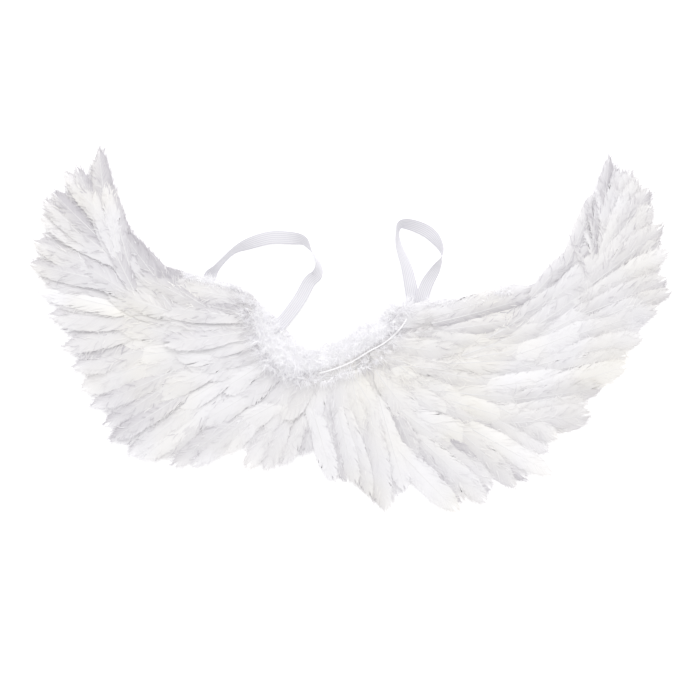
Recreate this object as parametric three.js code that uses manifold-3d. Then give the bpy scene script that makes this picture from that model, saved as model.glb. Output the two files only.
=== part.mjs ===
// Costume angel wings: rows of feathers on a felt panel, a down trim round the neck and two straps.
// The wings lie on their back, feathers up. X runs across the span, Y towards the neck, Z up from
// the surface they lie on. All sizes are in millimetres.

import * as THREE from "three";
import { mergeVertices } from "three/addons/utils/BufferGeometryUtils.js";
import Module from "manifold-3d";

const wasm = await Module();
wasm.setup();

// Overall size: the shares in the tables below are shares of half of these two
const WING_SPAN = 798;
const WING_HEIGHT = 459;

// Felt panel and the clearance that separates one piece from the next
const PANEL_THICKNESS = 2;
const PANEL_WIDTH = 150;
const PANEL_STEPS = 28;
const PIECE_GAP = 0.3;
const WELD_DISTANCE = 0.01;

// Feathers: the length of a long one, the thickness at the quill and at the edge of the vane, the
// arch of the vane across its width, and how far a short feather stands back from a long one
const FEATHER_LENGTH = 130;
const QUILL_THICKNESS = 1.2;
const VANE_THICKNESS = 0.7;
const VANE_CAMBER = 2.2;
const TIP_DROOP = 1.2;
const TIP_STAGGER = 3;

// Height from one layer of feathers to the next, and the stitched heel that joins a row's quills
const LAYER_PITCH = 4.4;
const HEEL_WIDTH = 6;

// Down trim round the neckline, its core cord, and the thin line of down on the wings' upper edges.
// The ends of a trim have TRIM_END_SHARE of its size. The cord lies CORD_SIDE of the way out from
// the middle of the trim, and runs between two shares of its length.
const TRIM_WIDTH = 40;
const TRIM_HEIGHT = 22;
const TRIM_END_SHARE = 0.5;
const TRIM_STEPS = 14;
const TRIM_LOCKS = 20;
const LOCK_LENGTH = 15;
const LOCK_WIDTH = 20;
const LOCK_TIP_WIDTH = 5;
const LOCK_LEANS = [32, 148, 62, 118, 88];
const CORD_DIAMETER = 2;
const CORD_SIDE = 0.9;
const CORD_START = 0.46;
const CORD_END = 0.96;
const CORD_STEPS = 16;
const EDGE_DOWN_WIDTH = 9;
const EDGE_DOWN_HEIGHT = 8;
const EDGE_DOWN_STEPS = 10;

// Ribbed elastic shoulder straps
const STRAP_WIDTH = 16.5;
const STRAP_THICKNESS = 1.2;
const STRAP_CLEARANCE = 0.3;
const STRAP_STEPS_PER_LINE = 3;

const PANEL_TOP = PANEL_THICKNESS + PIECE_GAP;
const HALF_SPAN = WING_SPAN / 2;
const HALF_HEIGHT = WING_HEIGHT / 2;

// Stations along a feather: at is the share of its length from the quill, and arch the share of the
// camber there. Up to the last joined one a feather shares its edges with its neighbours, and past
// it each tip is free, with width the share of its width where it comes free.
const JOINED_STATIONS = [
  { at: 0.16, arch: 0.4 },
  { at: 0.5, arch: 1 },
  { at: 0.82, arch: 0.9 },
];
const FREE_STATIONS = [
  { at: 0.94, arch: 0.6, width: 0.8 },
  { at: 1, arch: 0.2, width: 0.34 },
];

// Feather rows, anticlockwise seen from above. A line of a table is one feather, and the feathers
// between two lines are interpolated. at is the feather's number, x and y its tip as shares of half
// the span and height, aim the way the tip points in degrees from +X, length a share of a long one.
const ROWS = {
  left_primary_row: {
    layer: 0,
    feathers: [
      { at: 0, x: -0.787, y: 0.985, aim: 107, length: 0.98 },
      { at: 2, x: -0.931, y: 0.744, aim: 139, length: 0.95 },
      { at: 4, x: -0.994, y: 0.477, aim: 158, length: 0.99 },
      { at: 6, x: -0.991, y: 0.237, aim: 172, length: 1.04 },
      { at: 8, x: -0.9, y: -0.101, aim: 194, length: 0.95 },
      { at: 11, x: -0.815, y: -0.422, aim: 210, length: 0.99 },
      { at: 14, x: -0.699, y: -0.689, aim: 222, length: 1.01 },
      { at: 15, x: -0.655, y: -0.706, aim: 224, length: 0.94 },
    ],
  },
  right_primary_row: {
    layer: 0,
    feathers: [
      { at: 0, x: 0.749, y: -0.46, aim: 0, length: 0.84 },
      { at: 2, x: 0.868, y: -0.188, aim: 7, length: 1 },
      { at: 4, x: 0.962, y: 0.117, aim: 16, length: 0.98 },
      { at: 6, x: 0.994, y: 0.433, aim: 28, length: 0.96 },
      { at: 8, x: 0.937, y: 0.678, aim: 48, length: 0.86 },
      { at: 10, x: 0.875, y: 0.869, aim: 67, length: 0.9 },
      { at: 11, x: 0.812, y: 0.935, aim: 77, length: 0.87 },
    ],
  },
  left_lower_row: {
    layer: 0,
    feathers: [
      { at: 0, x: -0.615, y: -0.712, aim: 224, length: 0.95 },
      { at: 2, x: -0.495, y: -0.744, aim: 223, length: 0.77 },
      { at: 4, x: -0.326, y: -0.749, aim: 237, length: 0.65 },
      { at: 6, x: -0.16, y: -0.657, aim: 262, length: 0.41 },
    ],
  },
  right_lower_row: {
    layer: 0,
    feathers: [
      { at: 0, x: 0.332, y: -0.995, aim: -50, length: 1.02 },
      { at: 1, x: 0.423, y: -0.94, aim: -43, length: 0.92 },
      { at: 2, x: 0.511, y: -0.858, aim: -36, length: 0.93 },
      { at: 3, x: 0.63, y: -0.787, aim: -30, length: 1.04 },
      { at: 4, x: 0.643, y: -0.591, aim: -27, length: 0.82 },
    ],
  },
  centre_lower_row: {
    layer: 1,
    feathers: [
      { at: 0, x: -0.056, y: -0.842, aim: -80, length: 0.82 },
      { at: 1, x: 0.016, y: -0.864, aim: -79, length: 0.82 },
      { at: 3, x: 0.116, y: -0.995, aim: -77, length: 1.03 },
      { at: 4, x: 0.179, y: -0.886, aim: -74, length: 0.83 },
    ],
  },
  left_second_row: {
    layer: 1,
    feathers: [
      { at: 0, x: -0.749, y: 0.787, aim: 116, length: 0.83 },
      { at: 2, x: -0.812, y: 0.515, aim: 141, length: 0.75 },
      { at: 5, x: -0.762, y: 0.063, aim: 174, length: 0.77 },
      { at: 8, x: -0.693, y: -0.264, aim: 197, length: 0.85 },
      { at: 10, x: -0.561, y: -0.466, aim: 213, length: 0.71 },
      { at: 13, x: -0.301, y: -0.559, aim: 230, length: 0.5 },
    ],
  },
  right_second_row: {
    layer: 1,
    feathers: [
      { at: 0, x: 0.326, y: -0.657, aim: -45, length: 0.68 },
      { at: 2, x: 0.53, y: -0.493, aim: -16, length: 0.82 },
      { at: 4, x: 0.687, y: -0.232, aim: 0, length: 0.9 },
      { at: 6, x: 0.781, y: 0.025, aim: 13, length: 0.93 },
      { at: 8, x: 0.818, y: 0.297, aim: 30, length: 0.89 },
      { at: 10, x: 0.793, y: 0.531, aim: 50, length: 0.78 },
      { at: 11, x: 0.768, y: 0.749, aim: 67, length: 0.78 },
    ],
  },
  centre_upper_row: {
    layer: 2,
    feathers: [
      { at: 0, x: -0.135, y: -0.52, aim: -105, length: 0.47 },
      { at: 2, x: -0.019, y: -0.548, aim: -90, length: 0.52 },
      { at: 4, x: 0.107, y: -0.548, aim: -73, length: 0.61 },
      { at: 5, x: 0.179, y: -0.515, aim: -69, length: 0.66 },
    ],
  },
  left_covert_row: {
    layer: 2,
    feathers: [
      { at: 0, x: -0.718, y: 0.569, aim: 130, length: 0.74 },
      { at: 2, x: -0.693, y: 0.313, aim: 150, length: 0.62 },
      { at: 4, x: -0.624, y: 0.074, aim: 170, length: 0.58 },
      { at: 6, x: -0.561, y: -0.112, aim: 188, length: 0.58 },
      { at: 8, x: -0.473, y: -0.275, aim: 205, length: 0.55 },
      { at: 10, x: -0.348, y: -0.395, aim: 223, length: 0.45 },
      { at: 12, x: -0.223, y: -0.482, aim: 239, length: 0.45 },
    ],
  },
  right_covert_row: {
    layer: 2,
    feathers: [
      { at: 0, x: 0.216, y: -0.52, aim: -59, length: 0.48 },
      { at: 2, x: 0.398, y: -0.395, aim: -21, length: 0.66 },
      { at: 4, x: 0.555, y: -0.177, aim: 0, length: 0.75 },
      { at: 6, x: 0.643, y: 0.041, aim: 15, length: 0.76 },
      { at: 8, x: 0.693, y: 0.27, aim: 32, length: 0.72 },
      { at: 9, x: 0.693, y: 0.46, aim: 50, length: 0.59 },
    ],
  },
  left_top_row: {
    layer: 3,
    feathers: [
      { at: 0, x: -0.636, y: 0.401, aim: 150, length: 0.65 },
      { at: 1, x: -0.58, y: 0.281, aim: 164, length: 0.64 },
      { at: 3, x: -0.517, y: 0.063, aim: 175, length: 0.48 },
      { at: 5, x: -0.455, y: -0.09, aim: 192, length: 0.37 },
      { at: 6, x: -0.404, y: -0.177, aim: 198, length: 0.31 },
    ],
  },
  right_top_row: {
    layer: 3,
    feathers: [
      { at: 0, x: 0.235, y: -0.319, aim: -42, length: 0.4 },
      { at: 2, x: 0.367, y: -0.139, aim: -11, length: 0.63 },
      { at: 3, x: 0.467, y: -0.057, aim: -4, length: 0.77 },
      { at: 4, x: 0.555, y: 0.074, aim: 5, length: 0.91 },
      { at: 5, x: 0.592, y: 0.204, aim: 14, length: 0.77 },
    ],
  },
};

// Felt panel: the line along its middle, with width the share of the panel's width there
const PANEL_SPINE = [
  { x: -0.735, y: 0.6, width: 0.12 },
  { x: -0.69, y: 0.33, width: 0.34 },
  { x: -0.56, y: 0.1, width: 0.74 },
  { x: -0.4, y: -0.08, width: 0.92 },
  { x: -0.2, y: -0.32, width: 0.72 },
  { x: -0.03, y: -0.36, width: 0.62 },
  { x: 0.14, y: -0.29, width: 0.98 },
  { x: 0.34, y: -0.16, width: 0.95 },
  { x: 0.53, y: -0.02, width: 0.76 },
  { x: 0.69, y: 0.22, width: 0.4 },
  { x: 0.77, y: 0.55, width: 0.12 },
];

// Neckline trim: its middle line, with width the share of the trim's width there
const TRIM_SPINE = [
  { x: -0.339, y: 0.144, width: 0.62 },
  { x: -0.292, y: 0.052, width: 0.82 },
  { x: -0.266, y: -0.057, width: 0.96 },
  { x: -0.207, y: -0.145, width: 1 },
  { x: -0.144, y: -0.172, width: 0.95 },
  { x: -0.082, y: -0.158, width: 0.88 },
  { x: -0.019, y: -0.118, width: 0.86 },
  { x: 0.034, y: -0.058, width: 0.92 },
  { x: 0.085, y: -0.008, width: 0.92 },
  { x: 0.129, y: 0.054, width: 0.82 },
  { x: 0.163, y: 0.112, width: 0.56 },
];

// Thin line of down along the upper edge of each wing
const EDGE_DOWN = {
  left_edge_down: [
    { x: -0.511, y: 0.292 },
    { x: -0.442, y: 0.259 },
    { x: -0.354, y: 0.221 },
  ],
  right_edge_down: [
    { x: 0.229, y: 0.128 },
    { x: 0.317, y: 0.15 },
    { x: 0.411, y: 0.172 },
    { x: 0.492, y: 0.215 },
  ],
};

// Shoulder straps: middle line of the elastic, roll its turn about that line in degrees, and rest
// what it lies on: 0 the ground, 1 the panel, 2 the strap's other end where that lies on the panel
const STRAPS = {
  left_strap: [
    { x: -0.47, y: 0.12, roll: 0, rest: 1 },
    { x: -0.445, y: 0.27, roll: 10, rest: 1 },
    { x: -0.42, y: 0.335, roll: 70, rest: 0.3 },
    { x: -0.37, y: 0.422, roll: 110, rest: 0 },
    { x: -0.317, y: 0.468, roll: 150, rest: 0 },
    { x: -0.254, y: 0.499, roll: 180, rest: 0 },
    { x: -0.197, y: 0.499, roll: 190, rest: 0 },
    { x: -0.15, y: 0.484, roll: 225, rest: 0 },
    { x: -0.125, y: 0.43, roll: 265, rest: 0 },
    { x: -0.103, y: 0.36, roll: 290, rest: 0 },
    { x: -0.106, y: 0.3, roll: 325, rest: 0 },
    { x: -0.13, y: 0.26, roll: 345, rest: 0.3 },
    { x: -0.16, y: 0.166, roll: 360, rest: 1 },
    { x: -0.2, y: 0.07, roll: 360, rest: 1 },
    { x: -0.238, y: 0, roll: 360, rest: 1 },
  ],
  right_strap: [
    { x: 0.21, y: 0.02, roll: 0, rest: 1 },
    { x: 0.196, y: 0.134, roll: 0, rest: 1 },
    { x: 0.186, y: 0.24, roll: 15, rest: 1 },
    { x: 0.172, y: 0.346, roll: 35, rest: 0.2 },
    { x: 0.15, y: 0.45, roll: 65, rest: 0 },
    { x: 0.145, y: 0.53, roll: 90, rest: 0 },
    { x: 0.158, y: 0.572, roll: 130, rest: 0 },
    { x: 0.198, y: 0.564, roll: 150, rest: 0 },
    { x: 0.245, y: 0.525, roll: 200, rest: 0 },
    { x: 0.275, y: 0.462, roll: 235, rest: 0 },
    { x: 0.284, y: 0.4, roll: 270, rest: 0 },
    { x: 0.265, y: 0.33, roll: 315, rest: 0.4 },
    { x: 0.235, y: 0.24, roll: 345, rest: 1.8 },
    { x: 0.22, y: 0.134, roll: 360, rest: 2 },
    { x: 0.232, y: 0.02, roll: 360, rest: 2 },
  ],
};

const COLOURS = {
  felt: { color: 0xf1f0f2, roughness: 0.95, metalness: 0 },
  feather: { color: 0xeceaf0, roughness: 0.72, metalness: 0 },
  down: { color: 0xf4f2f1, roughness: 0.9, metalness: 0 },
  cord: { color: 0xf7f7f8, roughness: 0.7, metalness: 0 },
  elastic: { color: 0xe9e7f0, roughness: 0.75, metalness: 0 },
};

const UP = new THREE.Vector3(0, 0, 1);

const place = ({ x, y }, z = 0) => new THREE.Vector3(x * HALF_SPAN, y * HALF_HEIGHT, z);
const radians = (degrees) => THREE.MathUtils.degToRad(degrees);
const range = (count) => [...Array(count).keys()];

// Value of one column of a table at a place between its lines, on a smooth curve through them
function column(table, name, at) {
  const last = table.length - 1;
  const position = (line) => (table[line].at === undefined ? line / last : table[line].at);
  let line = 0;
  while (line < last - 1 && at > position(line + 1)) line += 1;
  const value = (number) => table[THREE.MathUtils.clamp(number, 0, last)][name];
  const step = position(line + 1) - position(line);
  const share = THREE.MathUtils.clamp((at - position(line)) / step, 0, 1);
  const [a, b, c, d] = [value(line - 1), value(line), value(line + 1), value(line + 2)];
  const linear = -a + c;
  const square = 2 * a - 5 * b + 4 * c - d;
  const cube = -a + 3 * b - 3 * c + d;
  return 0.5 * (2 * b + linear * share + square * share ** 2 + cube * share ** 3);
}

// Closed solid through rings of points, each ring running anticlockwise seen from the last one.
// Opposite walls are split along matching diagonals, so that a thin band can twist and not cross
// itself.
function loft(rings) {
  const size = rings[0].length;
  const index = [];
  for (let ring = 0; ring < rings.length - 1; ring += 1) {
    for (let side = 0; side < size; side += 1) {
      const a = ring * size + side;
      const b = ring * size + ((side + 1) % size);
      if (side < size / 2) index.push(a, b, b + size, a, b + size, a + size);
      else index.push(a, b, a + size, b, b + size, a + size);
    }
  }
  const end = (rings.length - 1) * size;
  for (let side = 1; side < size - 1; side += 1) {
    index.push(0, side + 1, side);
    index.push(end, end + side, end + side + 1);
  }
  const geometry = new THREE.BufferGeometry().setFromPoints(rings.flat());
  geometry.setIndex(index);
  return geometry;
}

function solidOf(geometry) {
  return new wasm.Manifold(
    new wasm.Mesh({
      numProp: 3,
      vertProperties: new Float32Array(geometry.attributes.position.array),
      triVerts: new Uint32Array(geometry.index.array),
    }),
  );
}

// The mesh of a solid, with corners nearer than the weld distance drawn together
function geometryOf(solid) {
  const mesh = solid.getMesh();
  const raw = new THREE.BufferGeometry();
  raw.setAttribute("position", new THREE.BufferAttribute(mesh.vertProperties, 3));
  raw.setIndex(new THREE.BufferAttribute(mesh.triVerts, 1));
  const geometry = mergeVertices(raw, WELD_DISTANCE);
  const kept = [];
  for (let start = 0; start < geometry.index.count; start += 3) {
    const corners = [0, 1, 2].map((corner) => geometry.index.getX(start + corner));
    if (new Set(corners).size === 3) kept.push(...corners);
  }
  geometry.setIndex(kept);
  geometry.computeVertexNormals();
  return geometry;
}

const join = (solids) => solids.reduce((whole, solid) => whole.add(solid));

// The outer skin of a piece, without the closed pockets that overlapping feathers leave inside
function outerSkin(solid) {
  return solid.decompose().reduce((best, one) => (one.volume() > best.volume() ? one : best));
}

// Roots, directions and lengths of every feather in a row, worked out from its table
function feathersOf({ feathers }) {
  return range(feathers.at(-1).at + 1).map((at) => {
    const aim = radians(column(feathers, "aim", at));
    const along = new THREE.Vector3(Math.cos(aim), Math.sin(aim), 0);
    const length = column(feathers, "length", at) * FEATHER_LENGTH;
    const tip = place({ x: column(feathers, "x", at), y: column(feathers, "y", at) });
    const root = tip.clone().addScaledVector(along, -length);
    return { root, along, length: length - (at % 2 ? TIP_STAGGER : 0) };
  });
}

// Heights of the two faces of a row at one station: at the quills, and at the edges between them
function facesAt({ layer }, { at, arch, seated }, spare) {
  const base = PANEL_TOP + layer * LAYER_PITCH + (layer === 0 ? TIP_DROOP * (1 - at ** 2) : 0);
  const quill = base + VANE_CAMBER * arch;
  const under = (height) => (seated ? PANEL_TOP : height) - spare;
  return {
    quill: [under(quill), quill + QUILL_THICKNESS + spare],
    edge: [under(base), base + VANE_THICKNESS + spare],
  };
}

// A row of feathers: one arched vane beside another, joined to near their tips, on a stitched heel
// that is seated on the panel. spare grows the whole row, to cut room for it out of other pieces.
function featherRow(row, spare = 0) {
  const feathers = feathersOf(row);
  const count = feathers.length;
  const heel = HEEL_WIDTH / FEATHER_LENGTH;
  const joined = [
    { at: 0, arch: 0.2, seated: true },
    { at: heel + spare / FEATHER_LENGTH, arch: 0.2, seated: true },
    { at: heel + (spare + PIECE_GAP) / FEATHER_LENGTH, arch: 0.2 },
    ...JOINED_STATIONS,
  ];
  const axis = ({ root, along, length }, at) =>
    root.clone().addScaledVector(along, at * length + spare * (at === 0 ? -1 : at === 1 ? 1 : 0));
  const vertices = [];
  const pair = (point, [low, high]) => {
    vertices.push(point.clone().setZ(low), point.clone().setZ(high));
    return vertices.length - 2;
  };

  const index = [];
  const quad = (a, b, c, d) => index.push(a, c, b, a, d, c);
  const skin = (a, b, c, d) => {
    quad(a + 1, b + 1, c + 1, d + 1);
    quad(d, c, b, a);
  };
  const wall = (a, b) => quad(a, b, b + 1, a + 1);

  const stations = joined.map((station) => {
    const faces = facesAt(row, station, spare);
    const middles = feathers.map((one) => axis(one, station.at));
    const edges = range(count + 1).map((number) => {
      const inner = THREE.MathUtils.clamp(number, 1, count - 1);
      const edge = middles[inner - 1].clone().lerp(middles[inner], 0.5);
      if (number === inner) return edge;
      const last = middles[number === 0 ? 0 : count - 1];
      const outward = last.clone().sub(edge);
      return last.clone().add(outward).addScaledVector(outward.normalize(), spare);
    });
    return {
      quills: middles.map((point) => pair(point, faces.quill)),
      edges: edges.map((point) => pair(point, faces.edge)),
    };
  });
  for (let number = 0; number < stations.length - 1; number += 1) {
    const [near, far] = [stations[number], stations[number + 1]];
    near.quills.forEach((quill, one) => {
      skin(near.edges[one], quill, far.quills[one], far.edges[one]);
      skin(quill, near.edges[one + 1], far.edges[one + 1], far.quills[one]);
    });
    wall(far.edges[0], near.edges[0]);
    wall(near.edges[count], far.edges[count]);
  }
  const [heelEnd, split] = [stations[0], stations.at(-1)];
  heelEnd.quills.forEach((quill, one) => {
    wall(heelEnd.edges[one], quill);
    wall(quill, heelEnd.edges[one + 1]);
  });

  feathers.forEach((one, number) => {
    const sides = [split.edges[number], split.edges[number + 1]];
    const middle = axis(one, JOINED_STATIONS.at(-1).at);
    const halves = sides.map((side) => vertices[side].clone().sub(middle).setZ(0));
    let near = [sides[0], split.quills[number], sides[1]];
    for (const station of FREE_STATIONS) {
      const faces = facesAt(row, station, spare);
      const centre = axis(one, station.at);
      const edge = (half) => {
        const out = half.clone().multiplyScalar(station.width);
        return pair(centre.clone().add(out.addScaledVector(half.clone().normalize(), spare)), faces.edge);
      };
      const far = [edge(halves[0]), pair(centre, faces.quill), edge(halves[1])];
      skin(near[0], near[1], far[1], far[0]);
      skin(near[1], near[2], far[2], far[1]);
      wall(far[0], near[0]);
      wall(near[2], far[2]);
      near = far;
    }
    wall(near[1], near[0]);
    wall(near[2], near[1]);
  });

  const geometry = new THREE.BufferGeometry().setFromPoints(vertices);
  geometry.setIndex(index);
  return solidOf(geometry);
}

// Places on the smooth line through a table's points, with the direction of the line there
function alongTable(table, count) {
  const curve = new THREE.CatmullRomCurve3(table.map((line) => place(line)));
  return range(count + 1).map((number) => {
    const share = number / count;
    return { share, point: curve.getPoint(share), along: curve.getTangent(share) };
  });
}

function panel() {
  const stations = alongTable(PANEL_SPINE, PANEL_STEPS);
  const side = (sign) =>
    stations.map(({ share, point, along }) => {
      const half = (column(PANEL_SPINE, "width", share) * PANEL_WIDTH) / 2;
      return new THREE.Vector2(point.x - sign * along.y * half, point.y + sign * along.x * half);
    });
  const outline = new THREE.Shape([...side(-1), ...side(1).reverse()]);
  return new THREE.ExtrudeGeometry(outline, { depth: PANEL_THICKNESS, bevelEnabled: false });
}

// Down trim: a soft roll, flat where it lies on the panel, with short locks that stand out of it
function downTrim({ table, width, height, steps, locks = 0 }, spare = 0) {
  const sides = 7;
  const widthAt = (share) => (table[0].width ? column(table, "width", share) : 1) * width;
  const rings = alongTable(table, steps).map(({ share, point, along }) => {
    const across = UP.clone().cross(along);
    const size = share === 0 || share === 1 ? TRIM_END_SHARE : 1;
    return range(sides).map((side) => {
      const turn = (Math.PI * side) / (sides - 1);
      return point
        .clone()
        .addScaledVector(across, Math.cos(turn) * ((size * widthAt(share)) / 2 + spare))
        .setZ(PANEL_TOP + Math.sin(turn) * (size * height + spare));
    });
  });
  const solids = [solidOf(loft(rings))];
  for (const seat of alongTable(table, locks + 1).slice(1, -1)) {
    const number = Math.round(seat.share * (locks + 1));
    solids.push(lock(seat, widthAt(seat.share), height, number, spare));
  }
  return join(solids);
}

// One lock of down: a four-sided spike out of the roll, leaning to one side and then to the other
function lock({ point, along }, width, height, number, spare) {
  const lean = radians(LOCK_LEANS[number % LOCK_LEANS.length]);
  const across = UP.clone().cross(along);
  const out = across.clone().multiplyScalar(Math.cos(lean)).addScaledVector(UP, Math.sin(lean));
  const over = along.clone().cross(out);
  const seat = point.clone().setZ(PANEL_TOP);
  seat.addScaledVector(across, (Math.cos(lean) * width) / 2);
  seat.addScaledVector(UP, Math.sin(lean) * height);
  const ring = (reach, half) => {
    const middle = seat.clone().addScaledVector(out, reach);
    return [over, along, over.clone().negate(), along.clone().negate()].map((way) => {
      const corner = middle.clone().addScaledVector(way, half + spare);
      return corner.setZ(Math.max(corner.z, PANEL_TOP));
    });
  };
  const [buried, tip] = [ring(-LOCK_LENGTH / 2, LOCK_WIDTH / 2), ring(LOCK_LENGTH / 2, LOCK_TIP_WIDTH / 2)];
  return solidOf(loft([buried, tip]));
}

// Core cord: it runs along the lower side of the trim, half sunk in it
function trimCord(spare = 0) {
  const sides = 8;
  const radius = CORD_DIAMETER / 2 + spare;
  const seats = alongTable(TRIM_SPINE, CORD_STEPS).map(({ share, point, along }) => {
    const half = (column(TRIM_SPINE, "width", share) * TRIM_WIDTH) / 2;
    const height = TRIM_HEIGHT * Math.sqrt(1 - CORD_SIDE ** 2);
    return point.addScaledVector(UP.clone().cross(along), -CORD_SIDE * half).setZ(PANEL_TOP + height);
  });
  const curve = new THREE.CatmullRomCurve3(seats);
  const rings = range(CORD_STEPS + 1).map((number) => {
    const share = CORD_START + ((CORD_END - CORD_START) * number) / CORD_STEPS;
    const middle = curve.getPoint(share);
    const along = curve.getTangent(share);
    if (number === 0) middle.addScaledVector(along, -spare);
    if (number === CORD_STEPS) middle.addScaledVector(along, spare);
    const across = UP.clone().cross(along).normalize();
    const over = along.clone().cross(across);
    return range(sides).map((side) => {
      const turn = (2 * Math.PI * side) / sides;
      return middle
        .clone()
        .addScaledVector(across, Math.cos(turn) * radius)
        .addScaledVector(over, Math.sin(turn) * radius);
    });
  });
  return solidOf(loft(rings));
}

// Strap: a flat band that rolls about its middle line, its lower edge clear of what it lies on.
// from and to are the shares of its length between which it is made.
function strap(table, spare = 0, from = 0, to = 1) {
  const steps = STRAP_STEPS_PER_LINE * (table.length - 1);
  const seats = [STRAP_CLEARANCE, PANEL_TOP, PANEL_TOP + STRAP_THICKNESS + PIECE_GAP];
  const stretch = alongTable(table, steps).filter(({ share }) => share >= from && share <= to);
  const rings = stretch.map(({ share, point, along }) => {
    const roll = radians(column(table, "roll", share));
    const across = UP.clone().cross(along).normalize();
    const flat = across.clone().multiplyScalar(Math.cos(roll)).addScaledVector(UP, Math.sin(roll));
    const face = along.clone().cross(flat);
    const rest = THREE.MathUtils.clamp(column(table, "rest", share), 0, 2);
    const under = Math.min(Math.floor(rest), 1);
    const seat = seats[under] + (seats[under + 1] - seats[under]) * (rest - under);
    const reach = (Math.abs(Math.sin(roll)) * STRAP_WIDTH + Math.abs(Math.cos(roll)) * STRAP_THICKNESS) / 2;
    const middle = point.clone().setZ(seat + reach);
    const corner = (wide, high) =>
      middle
        .clone()
        .addScaledVector(flat, wide * (STRAP_WIDTH / 2 + spare))
        .addScaledVector(face, high * (STRAP_THICKNESS / 2 + spare));
    return [corner(1, -1), corner(1, 1), corner(-1, 1), corner(-1, -1)];
  });
  return solidOf(loft(rings));
}

const group = new THREE.Group();

function add(name, geometry, finish) {
  const mesh = new THREE.Mesh(geometry, new THREE.MeshStandardMaterial(COLOURS[finish]));
  mesh.name = name;
  group.add(mesh);
}

add("backing_panel", panel(), "felt");

// Whatever is already in place, grown by the clearance, is cut out of what is laid over it
const taken = [];
const clear = (solid) => outerSkin(taken.length ? solid.subtract(join(taken)) : solid);

// The two halves of a strap are cut out apart, because its ends lie close over each other
for (const [name, table] of Object.entries(STRAPS)) {
  add(name, geometryOf(strap(table)), "elastic");
  const steps = STRAP_STEPS_PER_LINE * (table.length - 1);
  const middle = Math.round(steps / 2) / steps;
  taken.push(strap(table, PIECE_GAP, 0, middle), strap(table, PIECE_GAP, middle, 1));
}
for (const [name, row] of Object.entries(ROWS)) {
  add(name, geometryOf(clear(featherRow(row))), "feather");
  taken.push(featherRow(row, PIECE_GAP));
}
add("trim_cord", geometryOf(clear(trimCord())), "cord");
taken.push(trimCord(PIECE_GAP));

const neckTrim = {
  table: TRIM_SPINE,
  width: TRIM_WIDTH,
  height: TRIM_HEIGHT,
  steps: TRIM_STEPS,
  locks: TRIM_LOCKS,
};
add("marabou_trim", geometryOf(clear(downTrim(neckTrim))), "down");
taken.push(downTrim(neckTrim, PIECE_GAP));
for (const [name, table] of Object.entries(EDGE_DOWN)) {
  const edge = { table, width: EDGE_DOWN_WIDTH, height: EDGE_DOWN_HEIGHT, steps: EDGE_DOWN_STEPS };
  add(name, geometryOf(clear(downTrim(edge))), "down");
}

export default group;
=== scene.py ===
# %% [markdown]
# # Angel wings, dressed in Blender
# White costume wings lie on their back on a pale floor, seen from straight above. Goose feathers
# are glued in rows on a felt panel, a marabou boa hides the join at the neckline, and two loops of
# ribbed elastic go over the shoulders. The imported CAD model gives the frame: every piece made here
# but the stitches takes the place of one of its nodes and keeps to that node's place and outline.

import math

import bmesh
import bpy
import numpy as np
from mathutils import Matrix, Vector


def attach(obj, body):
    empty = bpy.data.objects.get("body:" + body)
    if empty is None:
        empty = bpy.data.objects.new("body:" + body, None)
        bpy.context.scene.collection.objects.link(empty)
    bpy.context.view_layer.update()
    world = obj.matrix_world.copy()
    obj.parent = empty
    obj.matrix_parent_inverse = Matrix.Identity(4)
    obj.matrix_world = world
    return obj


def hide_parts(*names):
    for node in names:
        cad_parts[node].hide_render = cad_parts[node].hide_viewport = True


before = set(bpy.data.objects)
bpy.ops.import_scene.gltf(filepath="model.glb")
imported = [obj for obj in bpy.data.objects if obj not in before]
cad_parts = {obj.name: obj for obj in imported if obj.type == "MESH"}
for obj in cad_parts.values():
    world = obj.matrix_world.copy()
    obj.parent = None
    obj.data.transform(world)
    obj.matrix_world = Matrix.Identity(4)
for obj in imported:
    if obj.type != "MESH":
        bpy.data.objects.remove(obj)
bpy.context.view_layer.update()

# %% [markdown]
# ## Camera
# The photograph is flat: both wings show the same size at the neck and at the tips. A long lens
# far above gives that, while it stays an ordinary perspective camera.

# %% Camera straight above
LENS = 0.1
SENSOR = 0.036
FRAME_WIDTH = 0.875
VIEW_CENTRE = (-0.00125, -0.0256)

camera = bpy.data.objects.new("camera", bpy.data.cameras.new("camera"))
camera.data.lens = LENS * 1000
camera.data.sensor_width = SENSOR * 1000
camera.data.clip_end = 20
camera.location = (*VIEW_CENTRE, FRAME_WIDTH * LENS / SENSOR)
bpy.context.collection.objects.link(camera)
bpy.context.scene.camera = camera
print("camera height in metres", round(camera.location.z, 2))

# %% [markdown]
# ## Helpers for colours and materials
# A finish is a small tree of shader nodes. Colours are chosen as sRGB hex values, the way a paint
# chart gives them, and one function turns them into the linear light that Blender works in.
# Another adds a node with its settings and links, so that a whole material reads in a few lines.

# %% Colour and material helpers
MM = 0.001


def linear(hex_colour):
    """Linear RGBA of an sRGB hex colour."""
    parts = [int(hex_colour[at : at + 2], 16) / 255 for at in (1, 3, 5)]
    curve = [((part + 0.055) / 1.055) ** 2.4 for part in parts]
    return [part / 12.92 if part <= 0.04045 else high for part, high in zip(parts, curve)] + [1]


def add_node(tree, kind, inputs=None, **settings):
    """Adds a node, sets its settings, and fills its inputs with values or links."""
    made = tree.nodes.new("ShaderNode" + kind)
    for name, value in settings.items():
        setattr(made, name, value)
    for name, value in (inputs or {}).items():
        if isinstance(value, bpy.types.NodeSocket):
            tree.links.new(value, made.inputs[name])
        else:
            made.inputs[name].default_value = value
    return made


def new_material(name, finish):
    """A material with one shader, its inputs set by name, joined to the output."""
    material = bpy.data.materials.new(name)
    material.use_nodes = True
    tree = material.node_tree
    tree.nodes.clear()
    shader = add_node(tree, "BsdfPrincipled", finish)
    add_node(tree, "OutputMaterial", {"Surface": shader.outputs[0]})
    return material, tree, shader


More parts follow.
